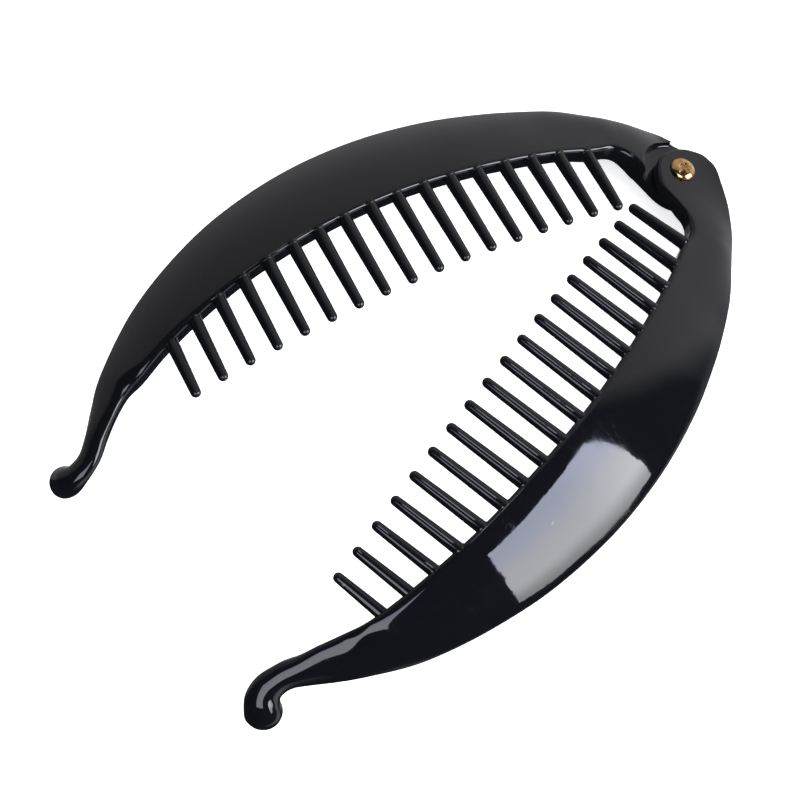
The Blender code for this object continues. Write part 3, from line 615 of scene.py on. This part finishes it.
def tooth_profile(length):
    """Radius along a tooth: a fillet out of the wall, a tapering shaft and a round tip."""
    rows = [(0.0, TOOTH_ROOT_RADIUS * HIDDEN_ROOT_TAPER),
            (TOOTH_ROOT_DEPTH * HIDDEN_ROOT_SHARE, TOOTH_ROOT_RADIUS + TOOTH_FILLET)]
    for angle in np.linspace(0, math.pi / 2, TOOTH_FILLET_RINGS):
        rows.append((TOOTH_ROOT_DEPTH + TOOTH_FILLET * (1 - math.cos(angle)),
                     TOOTH_ROOT_RADIUS + TOOTH_FILLET * (1 - math.sin(angle))))
    shaft_start = rows[-1][0]
    for share in np.linspace(0, 1, TOOTH_SHAFT_RINGS)[1:]:
        rows.append((shaft_start + (length - shaft_start) * share,
                     TOOTH_ROOT_RADIUS + (TOOTH_TIP_RADIUS - TOOTH_ROOT_RADIUS) * share))
    for angle in np.linspace(0, math.pi / 2, TOOTH_TIP_RINGS + 1)[1:-1]:
        rows.append((length + TOOTH_TIP_RADIUS * math.sin(angle), TOOTH_TIP_RADIUS * math.cos(angle)))
    return rows


def add_tooth(mesh, along, lean, hand):
    """One closed tooth, from its hidden root in the wall to its tip, at a place along the chord."""
    root_along = along - lean * (along - CRESCENT[0][0])
    growth = edge_growth(root_along)
    root_out = at_place(root_along, "inner_out") + TOOTH_ROOT_DEPTH + ROOT_DEEPER * growth
    root_height = at_place(root_along, "inner_height") - TOOTH_ROOT_BELOW_EDGE - ROOT_LOWER * growth
    root = chord_point(root_along, root_out, root_height, hand)
    tip = chord_point(along, at_place(along, "tip_out"), at_place(along, "tip_height"), hand)
    direction = unit(tip - root)
    side = unit(np.cross(direction, UP))
    lift = np.cross(side, direction)
    length = np.linalg.norm(tip - root)
    rings = []
    for distance, radius in tooth_profile(length):
        ring = []
        for angle in ring_angles(TOOTH_SIDES):
            around = side * math.cos(angle) + lift * math.sin(angle)
            ring.append(mesh.verts.new(Vector((root + direction * distance + around * radius) * MM)))
        rings.append(ring)
    apex = Vector((root + direction * (length + TOOTH_TIP_RADIUS)) * MM)
    faces = [mesh.faces.new(rings[0])] + bridge(mesh, rings) + fan(mesh, apex, rings[-1])
    bmesh.ops.recalc_face_normals(mesh, faces=faces)


def make_teeth(name, first, count, lean, hand):
    """A row of teeth as one object, to be joined to its arm."""
    mesh = bmesh.new()
    for k in range(count):
        add_tooth(mesh, first + TOOTH_PITCH * k, lean, hand)
    return mesh_object(name, mesh)


# Meshes and cuts


def mesh_object(name, mesh):
    """Turns a working mesh into an object of the scene."""
    data = bpy.data.meshes.new(name)
    mesh.to_mesh(data)
    mesh.free()
    obj = bpy.data.objects.new(name, data)
    bpy.context.scene.collection.objects.link(obj)
    return obj


def hinge_matrix():
    """Placement on the rivet's axis, with local Z along it and local X pointing ahead to the tips."""
    matrix = Matrix.Identity(4)
    left = np.cross(HINGE_AXIS, HINGE_AHEAD)
    for row in range(3):
        matrix[row][0] = HINGE_AHEAD[row]
        matrix[row][1] = left[row]
        matrix[row][2] = HINGE_AXIS[row]
        matrix[row][3] = HINGE_POINT[row] * MM
    return matrix


def ring_angles(sides):
    """Directions of the points of a ring."""
    return [2 * math.pi * k / sides for k in range(sides)]


def turned_object(name, first_height, rings, last_height):
    """Closed solid round the rivet's axis: rings of (radius, height) points between two heights on it."""
    mesh = bmesh.new()
    made = []
    for ring in rings:
        made.append([mesh.verts.new((radius * MM * math.cos(angle), radius * MM * math.sin(angle),
                                     height * MM))
                     for (radius, height), angle in zip(ring, ring_angles(len(ring)))])
    bridge(mesh, made)
    fan(mesh, (0.0, 0.0, first_height * MM), made[0])
    fan(mesh, (0.0, 0.0, last_height * MM), made[-1])
    bmesh.ops.recalc_face_normals(mesh, faces=mesh.faces)
    mesh.transform(hinge_matrix())
    return mesh_object(name, mesh)


def round_cut(name, outline, sides):
    """Round cutter with flat ends, from an outline of (radius, height) rows."""
    return turned_object(name, outline[0][1], [[row] * sides for row in outline], outline[-1][1])


def plain_cut(name, radius, top_depth, bottom_depth, sides):
    """Round cutter about the rivet's axis, between two depths below the ear's top."""
    return round_cut(name, [(radius, -bottom_depth), (radius, -top_depth)], sides)


def step_cut(name, floor_depth):
    """Cutter over the tongue: filleted at its foot, and flared to round the lip of the face."""
    outline = []
    for angle in np.radians(np.linspace(0, 90, ARC_STEPS)):
        outline.append((STEP_RADIUS - STEP_FOOT_ROUND * (1 - math.sin(angle)),
                        -floor_depth + STEP_FOOT_ROUND * (1 - math.cos(angle))))
    for angle in np.radians(np.linspace(0, STEP_LIP_SWEEP, ARC_STEPS)):
        outline.append((STEP_RADIUS + STEP_LIP_ROUND * (1 - math.cos(angle)),
                        -STEP_LIP_ROUND * (1 - math.sin(angle))))
    flare = STEP_RADIUS + STEP_FLARE * STEP_LIP_ROUND
    outline += [(flare, STEP_FLARE_ABOVE), (flare, CUT_ABOVE)]
    return round_cut(name, outline, LUG_SIDES)


def corner_cut(name, top_depth, bottom_depth):
    """Box that takes the sharp corner off the face where its outer rim meets the step."""
    corner, out = np.array(STEP_CORNER), np.array(STEP_CORNER_WAY)
    across = np.array([-out[1], out[0]])
    mesh = bmesh.new()
    rings = []
    half, far = CORNER_CUT_HALF_WIDTH, CORNER_CUT_LENGTH
    for depth in (top_depth, bottom_depth):
        ring = []
        for onward, wide in ((0.0, -half), (0.0, half), (far, half), (far, -half)):
            place = corner + out * onward + across * wide
            ring.append(mesh.verts.new(Vector(lug_point(place[0], place[1], depth, 1) * MM)))
        rings.append(ring)
    mesh.faces.new(rings[0])
    mesh.faces.new(rings[1])
    bridge(mesh, rings)
    bmesh.ops.recalc_face_normals(mesh, faces=mesh.faces)
    return mesh_object(name, mesh)


def round_flat_edge(obj, depth, size):
    """Rounds the sharp edges round a flat that lies at one depth below the ear's top, except at the bore."""
    mesh = bmesh.new()
    mesh.from_mesh(obj.data)
    axis, origin = Vector(HINGE_AXIS), Vector(HINGE_POINT * MM)
    chosen = []
    for edge in mesh.edges:
        if len(edge.link_faces) != 2 or edge.calc_face_angle(0.0) < math.radians(SHARP_TURN):
            continue
        places = [vert.co - origin for vert in edge.verts]
        if any(abs(place.dot(axis) + depth * MM) > FLAT_LEVEL * MM for place in places):
            continue
        if min((place - axis * place.dot(axis)).length for place in places) > BORE_CLEARANCE * MM:
            chosen.append(edge)
    bmesh.ops.bevel(mesh, geom=chosen, offset=size * MM, segments=TONGUE_EDGE_STEPS, profile=0.5,
                    affect="EDGES", clamp_overlap=True)
    mesh.to_mesh(obj.data)
    mesh.free()


def tidy_mesh(data):
    """Closes the slivers that the cuts leave."""
    mesh = bmesh.new()
    mesh.from_mesh(data)
    bmesh.ops.remove_doubles(mesh, verts=mesh.verts, dist=SLIVER * MM)
    bmesh.ops.dissolve_degenerate(mesh, dist=SLIVER * MM, edges=mesh.edges)
    mesh.to_mesh(data)
    mesh.free()


def apply_boolean(obj, other, operation):
    """Joins another object to this one or cuts it away, and removes it."""
    modifier = obj.modifiers.new(operation, "BOOLEAN")
    modifier.object = other
    modifier.operation = operation
    modifier.solver = "EXACT"
    depsgraph = bpy.context.evaluated_depsgraph_get()
    result = bpy.data.meshes.new_from_object(obj.evaluated_get(depsgraph))
    obj.modifiers.clear()
    old = obj.data
    obj.data = result
    result.name = obj.name
    bpy.data.meshes.remove(old)
    bpy.data.objects.remove(other, do_unlink=True)


def cut_away(obj, cutter):
    apply_boolean(obj, cutter, "DIFFERENCE")


def smooth(obj, angle):
    """Smooth shading, sharp where the surface turns by more than an angle in degrees."""
    obj.data.shade_smooth()
    obj.data.set_sharp_from_angle(angle=math.radians(angle))


# The two arms and the rivet


def make_eared_arm(material):
    """Arm with the ear on top of the hinge and the pocket that the tongue turns in."""
    hand = -1
    arm = mesh_object("eared_arm_polished", arm_shell(hand, EAR_LUG, EARED_TAIL, EARED_BALL))
    teeth = make_teeth("eared_teeth", EARED_FIRST, EARED_TEETH, 0.0, hand)
    apply_boolean(arm, teeth, "UNION")
    cut_away(arm, plain_cut("tongue_pocket", POCKET_RADIUS, EAR_THICKNESS, CUT_REACH, LUG_SIDES))
    cut_away(arm, plain_cut("ear_bore", BORE_RADIUS, -CUT_ABOVE, CUT_REACH, BORE_SIDES))
    tidy_mesh(arm.data)
    arm.data.materials.append(material)
    smooth(arm, ARM_SHARP)
    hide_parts("eared_arm")
    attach(arm, "eared_side")
    return arm


def make_tongued_arm(material):
    """Arm whose face stops at a step over the tongue."""
    hand = 1
    top = EAR_THICKNESS + LUG_GAP
    bottom = top + TONGUE_THICKNESS
    arm = mesh_object("tongued_arm_polished", arm_shell(hand, TONGUE_LUG, TONGUED_TAIL, TONGUED_BALL))
    teeth = make_teeth("tongued_teeth", TONGUED_FIRST, TONGUED_TEETH, TONGUED_ROOT_LEAN, hand)
    apply_boolean(arm, teeth, "UNION")
    cut_away(arm, corner_cut("face_corner", -CUT_ABOVE, top))
    cut_away(arm, step_cut("face_step", top))
    cut_away(arm, plain_cut("tongue_bottom", TONGUE_CUT_RADIUS, bottom, CUT_REACH, LUG_SIDES))
    cut_away(arm, plain_cut("tongue_bore", BORE_RADIUS, -CUT_ABOVE, CUT_REACH, BORE_SIDES))
    round_flat_edge(arm, top, TONGUE_EDGE_ROUND)
    tidy_mesh(arm.data)
    arm.data.materials.append(material)
    smooth(arm, ARM_SHARP)
    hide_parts("tongued_arm")
    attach(arm, "tongued_side")
    return arm


def head_height(radius, angle):
    """Height of the rivet's head: a low dome with an uneven dimpled crown."""
    share = radius / RIVET_HEAD_RADIUS
    height = RIVET_HEAD_HEIGHT * (1 - share ** RIVET_DOME_POWER) ** 0.5
    ahead, side = radius * math.cos(angle), radius * math.sin(angle)
    for row in RIVET_DENTS:
        dent = dict(zip(RIVET_DENT_COLUMNS, row))
        away = (ahead - dent["ahead"]) ** 2 + (side - dent["side"]) ** 2
        height -= dent["depth"] * math.exp(-away / dent["spread"] ** 2) * (1 - share ** DENT_FADE_POWER)
    return RIVET_HEAD_GAP + height


def make_rivet(material):
    """Rivet as one solid: dimpled head, shank and plain tail."""
    tail_top = EAR_THICKNESS + LUG_GAP + TONGUE_THICKNESS + RIVET_HEAD_GAP
    foot = -tail_top - RIVET_TAIL_HEIGHT
    rings = []
    for share in np.sin(np.linspace(0, math.pi / 2, RIVET_RINGS + 1))[1:]:
        radius = RIVET_HEAD_RADIUS * share
        rings.append([(radius, head_height(radius, angle)) for angle in ring_angles(RIVET_SIDES)])
    head_foot = RIVET_HEAD_GAP - RIVET_HEAD_CHAMFER
    rows = [(RIVET_HEAD_RADIUS - RIVET_HEAD_CHAMFER, head_foot), (RIVET_SHANK_RADIUS, head_foot),
            (RIVET_SHANK_RADIUS, -tail_top), (RIVET_TAIL_RADIUS, -tail_top),
            (RIVET_TAIL_RADIUS, -tail_top - 0.5 * RIVET_TAIL_HEIGHT),
            (RIVET_TAIL_RADIUS - RIVET_TAIL_CHAMFER, foot)]
    rings += [[row] * RIVET_SIDES for row in rows]
    rivet = turned_object("hinge_rivet_set", head_height(0.0, 0.0), rings, foot)
    rivet.data.materials.append(material)
    smooth(rivet, RIVET_SHARP)
    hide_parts("hinge_rivet")
    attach(rivet, "eared_side")
    return rivet


# Finishes


def add_node(tree, kind, **settings):
    """Node of a kind with its settings."""
    node = tree.nodes.new(kind)
    for name, value in settings.items():
        setattr(node, name, value)
    return node


def math_node(tree, operation, first, second):
    """Math node whose inputs are sockets or plain numbers."""
    node = add_node(tree, "ShaderNodeMath", operation=operation)
    for socket, value in zip(node.inputs, (first, second)):
        if isinstance(value, bpy.types.NodeSocket):
            tree.links.new(value, socket)
        else:
            socket.default_value = value
    return node.outputs[0]


def range_node(tree, value, from_low, from_high, to_low=0.0, to_high=1.0):
    """Smooth change of a value from one span to another, held at both ends."""
    node = add_node(tree, "ShaderNodeMapRange", interpolation_type="SMOOTHSTEP")
    tree.links.new(value, node.inputs["Value"])
    limits = {"From Min": from_low, "From Max": from_high, "To Min": to_low, "To Max": to_high}
    for name, limit in limits.items():
        node.inputs[name].default_value = limit
    return node.outputs["Result"]


def noise_node(tree, vector, scale, detail, roughness=0.5, distortion=0.0):
    """Noise whose scale is a socket."""
    node = add_node(tree, "ShaderNodeTexNoise")
    tree.links.new(vector, node.inputs["Vector"])
    tree.links.new(scale, node.inputs["Scale"])
    node.inputs["Detail"].default_value = detail
    node.inputs["Roughness"].default_value = roughness
    node.inputs["Distortion"].default_value = distortion
    return node.outputs["Fac"]


def new_group(name, inputs, outputs):
    """Shader node group with named sockets; returns the group, what it is given and what it makes."""
    group = bpy.data.node_groups.new(name, "ShaderNodeTree")
    for label, value in inputs:
        kind = "NodeSocketVector" if value is None else "NodeSocketFloat"
        socket = group.interface.new_socket(label, in_out="INPUT", socket_type=kind)
        if value is not None:
            socket.default_value = value
    for label in outputs:
        group.interface.new_socket(label, in_out="OUTPUT", socket_type="NodeSocketFloat")
    entry = group.nodes.new("NodeGroupInput")
    leave = group.nodes.new("NodeGroupOutput")
    return group, entry.outputs, leave.inputs


def moulded_surface_group():
    """Height of a moulded or pressed skin: slow waves of shrinkage under a fine ripple."""
    inputs = (("Vector", None), ("Wave Scale", 120.0), ("Ripple Scale", 700.0), ("Ripple Share", 0.1))
    group, given, made = new_group("moulded_surface", inputs, ("Height",))
    waves = noise_node(group, given["Vector"], given["Wave Scale"], detail=1.0)
    ripple = noise_node(group, given["Vector"], given["Ripple Scale"], detail=2.0)
    share = math_node(group, "MULTIPLY", ripple, given["Ripple Share"])
    group.links.new(math_node(group, "ADD", waves, share), made["Height"])
    return group


def handling_marks_group():
    """Marks of use: smudges that dull the gloss, hair-fine scratches, and specks of dust or pits."""
    inputs = (("Vector", None), ("Smudge Scale", 60.0), ("Scratch Scale", 260.0), ("Speck Scale", 420.0))
    group, given, made = new_group("handling_marks", inputs, ("Smudges", "Scratches", "Specks"))
    smudge = noise_node(group, given["Vector"], given["Smudge Scale"], detail=4.0, roughness=0.6,
                        distortion=0.4)
    group.links.new(range_node(group, smudge, *SMUDGE_SPAN), made["Smudges"])

    stretch = add_node(group, "ShaderNodeMapping")
    group.links.new(given["Vector"], stretch.inputs["Vector"])
    stretch.inputs["Rotation"].default_value = (0.0, 0.0, SCRATCH_TURN)
    stretch.inputs["Scale"].default_value = SCRATCH_STRETCH
    scratch = noise_node(group, stretch.outputs["Vector"], given["Scratch Scale"], detail=3.0,
                         roughness=0.55, distortion=0.15)
    near_middle = math_node(group, "ABSOLUTE", math_node(group, "SUBTRACT", scratch, 0.5), 0.0)
    lines = range_node(group, near_middle, *SCRATCH_SPAN, 1.0, 0.0)
    patch = noise_node(group, given["Vector"], given["Smudge Scale"], detail=1.0)
    patches = range_node(group, patch, *SCRATCH_PATCH_SPAN)
    group.links.new(math_node(group, "MULTIPLY", lines, patches), made["Scratches"])

    cells = add_node(group, "ShaderNodeTexVoronoi", feature="F1")
    group.links.new(given["Vector"], cells.inputs["Vector"])
    group.links.new(given["Speck Scale"], cells.inputs["Scale"])
    dots = range_node(group, cells.outputs["Distance"], *SPECK_SPAN, 1.0, 0.0)
    chosen = add_node(group, "ShaderNodeSeparateColor")
    group.links.new(cells.outputs["Color"], chosen.inputs["Color"])
    rare = math_node(group, "GREATER_THAN", chosen.outputs["Red"], CLEAN_SHARE)
    group.links.new(math_node(group, "MULTIPLY", dots, rare), made["Specks"])
    return group


def place_group(tree, group, vector, values):
    """A shared effect in one material, with that material's own values."""
    node = add_node(tree, "ShaderNodeGroup", node_tree=group)
    tree.links.new(vector, node.inputs["Vector"])
    for name, value in values.items():
        node.inputs[name].default_value = value
    return node


def mix_colour(tree, factor, first, second):
    """Blend of two colours, each a socket or a plain colour."""
    node = add_node(tree, "ShaderNodeMix", data_type="RGBA")
    tree.links.new(factor, node.inputs["Factor"])
    for socket, value in ((node.inputs[MIX_FIRST], first), (node.inputs[MIX_SECOND], second)):
        if isinstance(value, bpy.types.NodeSocket):
            tree.links.new(value, socket)
        else:
            socket.default_value = value
    return node.outputs[MIX_RESULT]


def bump_node(tree, height, distance, strength=1.0, normal=None):
    node = add_node(tree, "ShaderNodeBump")
    tree.links.new(height, node.inputs["Height"])
    node.inputs["Distance"].default_value = distance
    node.inputs["Strength"].default_value = strength
    if normal is not None:
        tree.links.new(normal, node.inputs["Normal"])
    return node.outputs["Normal"]


def new_material(name):
    """Material with a Principled shader; returns it, its tree, the shader and the object's coordinates."""
    material = bpy.data.materials.new(name)
    material.use_nodes = True
    tree = material.node_tree
    coordinates = add_node(tree, "ShaderNodeTexCoord")
    return material, tree, tree.nodes["Principled BSDF"], coordinates.outputs["Object"]


def dulled(tree, marks, polish, dulling):
    """Roughness: the polish's own where it is clean, and more under each mark."""
    rough = polish
    for mark, amount in dulling.items():
        rough = math_node(tree, "ADD", math_node(tree, "MULTIPLY", marks.outputs[mark], amount), rough)
    return rough


def black_gloss_material(surface_group, marks_group):
    """Polished black styrene: almost mirror smooth, with faint waves, smudges, hairlines and specks."""
    material, tree, shader, place = new_material("black_gloss_plastic")
    skin = place_group(tree, surface_group, place, PLASTIC_SKIN)
    marks = place_group(tree, marks_group, place, PLASTIC_MARKS)
    dusted = mix_colour(tree, marks.outputs["Specks"], PLASTIC_BLACK, SPECK_GREY)
    tree.links.new(dusted, shader.inputs["Base Color"])
    tree.links.new(dulled(tree, marks, PLASTIC_ROUGHNESS, PLASTIC_DULLING), shader.inputs["Roughness"])
    moulded = bump_node(tree, skin.outputs["Height"], PLASTIC_SKIN_DEPTH)
    pitted = bump_node(tree, marks.outputs["Specks"], SPECK_DEPTH, SPECK_STRENGTH, moulded)
    tree.links.new(pitted, shader.inputs["Normal"])
    shader.inputs["IOR"].default_value = PLASTIC_IOR
    return material


def brass_material(surface_group, marks_group):
    """Pressed brass: warm metal with a hammered skin, browner and duller under smudges, and browner on a
    patch of the head that is part tarnish, part painted shade.
    """
    material, tree, shader, place = new_material("rivet_brass")
    skin = place_group(tree, surface_group, place, BRASS_SKIN)
    marks = place_group(tree, marks_group, place, BRASS_MARKS)
    # The brown patch off the head's middle is partly tarnish and partly painted shade that dims the head's
    # highlights on that side.
    patch = (HINGE_POINT + HINGE_AXIS * RIVET_HEAD_HEIGHT + np.array(TARNISH_AND_SHADE_SHIFT)) * MM
    away = add_node(tree, "ShaderNodeVectorMath", operation="DISTANCE")
    tree.links.new(place, away.inputs[0])
    away.inputs[1].default_value = patch
    tarnish_and_shade_mask = range_node(tree, away.outputs["Value"], TARNISH_AND_SHADE_REACH * MM, 0.0)
    smudges_tarnish_and_shade = math_node(tree, "MAXIMUM", marks.outputs["Smudges"], tarnish_and_shade_mask)
    tarnished_and_shaded = mix_colour(tree, smudges_tarnish_and_shade, BRASS_BRIGHT, BRASS_TARNISH_AND_SHADE)
    pitted = mix_colour(tree, marks.outputs["Specks"], tarnished_and_shaded, BRASS_PIT)
    tree.links.new(pitted, shader.inputs["Base Color"])
    tree.links.new(dulled(tree, marks, BRASS_ROUGHNESS, BRASS_DULLING), shader.inputs["Roughness"])
    tree.links.new(bump_node(tree, skin.outputs["Height"], BRASS_SKIN_DEPTH), shader.inputs["Normal"])
    shader.inputs["Metallic"].default_value = 1.0
    return material


# Table, light and camera


def make_camera():
    """Camera at the photograph's angle to the clip."""
    data = bpy.data.cameras.new("camera")
    data.lens = CAMERA_LENS
    data.sensor_width = SENSOR_WIDTH
    data.clip_start, data.clip_end = CAMERA_CLIP
    camera = bpy.data.objects.new("camera", data)
    bpy.context.scene.collection.objects.link(camera)
    place = Vector(CAMERA_PLACE) * MM
    view = (Vector(CAMERA_TARGET) * MM - place).normalized()
    turn = view.to_track_quat("-Z", "Y").to_matrix() @ Matrix.Rotation(math.radians(CAMERA_ROLL), 3, "Z")
    camera.matrix_world = Matrix.Translation(place) @ turn.to_4x4()
    bpy.context.scene.camera = camera


def make_table():
    """Pale table that the clip lies on; the gloss doesn't mirror it."""
    bpy.ops.mesh.primitive_plane_add(size=TABLE_SIDE)
    table = bpy.context.object
    table.name = "pale_table"
    table.visible_glossy = False
    material = bpy.data.materials.new("pale_table")
    material.use_nodes = True
    shader = material.node_tree.nodes["Principled BSDF"]
    shader.inputs["Base Color"].default_value = TABLE_PALE
    shader.inputs["Roughness"].default_value = TABLE_ROUGHNESS
    shader.inputs["Emission Color"].default_value = TABLE_GLOW_WHITE
    shader.inputs["Emission Strength"].default_value = TABLE_GLOW
    table.data.materials.append(material)


def area_light(name, width, height, brightness):
    """Rectangular light; its brightness is what its face shows, whatever its size."""
    data = bpy.data.lights.new(name, "AREA")
    data.shape = "RECTANGLE"
    data.size = width
    data.size_y = height
    data.energy = brightness * math.pi * width * height
    light = bpy.data.objects.new(name, data)
    bpy.context.scene.collection.objects.link(light)
    return light


def shade_softbox(data, low_glow, far_glow, slant):
    """A softbox's cloth: greyer low down, brighter and cut at a slant far off, cooler towards the top."""
    data.use_nodes = True
    tree = data.node_tree
    place = add_node(tree, "ShaderNodeSeparateXYZ")
    tree.links.new(add_node(tree, "ShaderNodeNewGeometry").outputs["Parametric"], place.inputs[0])
    along, up = place.outputs["X"], place.outputs["Y"]
    low = range_node(tree, up, *SOFTBOX_LOW_SPAN, low_glow, 1.0)
    far = range_node(tree, along, *SOFTBOX_FAR_SPAN, 1.0, far_glow)
    slanted = math_node(tree, "ADD", along, math_node(tree, "MULTIPLY", up, slant))
    cloth = math_node(tree, "LESS_THAN", slanted, 1.0)
    glow = math_node(tree, "MULTIPLY", math_node(tree, "MULTIPLY", low, far), cloth)
    emission = tree.nodes["Emission"]
    tree.links.new(glow, emission.inputs["Strength"])
    cool = range_node(tree, up, *SOFTBOX_COOL_SPAN)
    tree.links.new(mix_colour(tree, cool, SOFTBOX_WARM, SOFTBOX_COOL), emission.inputs["Color"])


def make_softbox(name, azimuth, elevation, distance, width, height, roll, brightness, low_glow, far_glow,
                 slant):
    """Softbox that faces the clip and shows only in its gloss."""
    light = area_light(name, width, height, brightness)
    light.visible_camera = False
    shade_softbox(light.data, low_glow, far_glow, slant)
    turn, rise = math.radians(azimuth), math.radians(elevation)
    way = Vector((math.cos(turn) * math.cos(rise), math.sin(turn) * math.cos(rise), math.sin(rise)))
    facing = (-way).to_track_quat("-Z", "Y").to_matrix() @ Matrix.Rotation(math.radians(roll), 3, "Z")
    light.matrix_world = Matrix.Translation(Vector(SOFTBOX_AIM) + way * distance) @ facing.to_4x4()
    return light


def make_table_light():
    """Wide light that whitens the table; the gloss doesn't mirror it."""
    light = area_light("table_light", TABLE_LIGHT_SIDE, TABLE_LIGHT_SIDE, TABLE_LIGHT_BRIGHTNESS)
    light.location = (0.0, 0.0, TABLE_LIGHT_HEIGHT)
    light.visible_glossy = False
    light.visible_camera = False


def facing_node(tree, way, direction):
    """Cosine between each way out of the clip and one direction."""
    facing = add_node(tree, "ShaderNodeVectorMath", operation="DOT_PRODUCT")
    tree.links.new(way, facing.inputs[0])
    facing.inputs[1].default_value = direction
    return facing.outputs["Value"]


def side_of_room(tree, way, direction, edge):
    """Smooth mask of the ways that lie towards one side of the room."""
    return range_node(tree, facing_node(tree, way, direction), *edge)


def wall_tones(tree, way):
    """Pale wall, brighter towards the window."""
    share = add_node(tree, "ShaderNodeMapRange")
    tree.links.new(facing_node(tree, way, WINDOW_WAY), share.inputs["Value"])
    share.inputs["From Min"].default_value, share.inputs["From Max"].default_value = WINDOW_SPAN
    tones = add_node(tree, "ShaderNodeValToRGB")
    tree.links.new(share.outputs["Result"], tones.inputs["Fac"])
    stops = tones.color_ramp.elements
    for place, tone in PALE_WALL_TONES[1:-1]:
        stops.new(place)
    for stop, (place, tone) in zip(stops, PALE_WALL_TONES):
        stop.position = place
        stop.color = [tone * tint for tint in PALE_WALL_TINT] + [1.0]
    return tones.outputs["Color"]


def make_world():
    """Room that only the gloss sees, behind a plain pale backdrop."""
    world = bpy.data.worlds.new("studio")
    bpy.context.scene.world = world
    world.use_nodes = True
    tree = world.node_tree
    way = add_node(tree, "ShaderNodeTexCoord").outputs["Generated"]
    room = mix_colour(tree, side_of_room(tree, way, PALE_WALL_WAY, PALE_WALL_EDGE), DARK_WALL,
                      wall_tones(tree, way))
    low = math_node(tree, "MULTIPLY", side_of_room(tree, way, LOW_GLOW_WAY, LOW_GLOW_EDGE),
                    side_of_room(tree, way, DOWN_WAY, LOW_GLOW_DEPTH))
    room = mix_colour(tree, low, room, LOW_GLOW)
    seen = add_node(tree, "ShaderNodeLightPath").outputs["Is Camera Ray"]
    tree.links.new(mix_colour(tree, seen, room, BACKDROP), tree.nodes["Background"].inputs["Color"])


# The whole scene

bpy.context.scene.view_settings.view_transform = "Standard"
make_camera()
make_table()
make_world()
make_table_light()
for row in SOFTBOXES:
    make_softbox(**dict(zip(SOFTBOX_COLUMNS, row)))

moulded_surface = moulded_surface_group()
handling_marks = handling_marks_group()
plastic = black_gloss_material(moulded_surface, handling_marks)
make_eared_arm(plastic)
make_tongued_arm(plastic)
make_rivet(brass_material(moulded_surface, handling_marks))
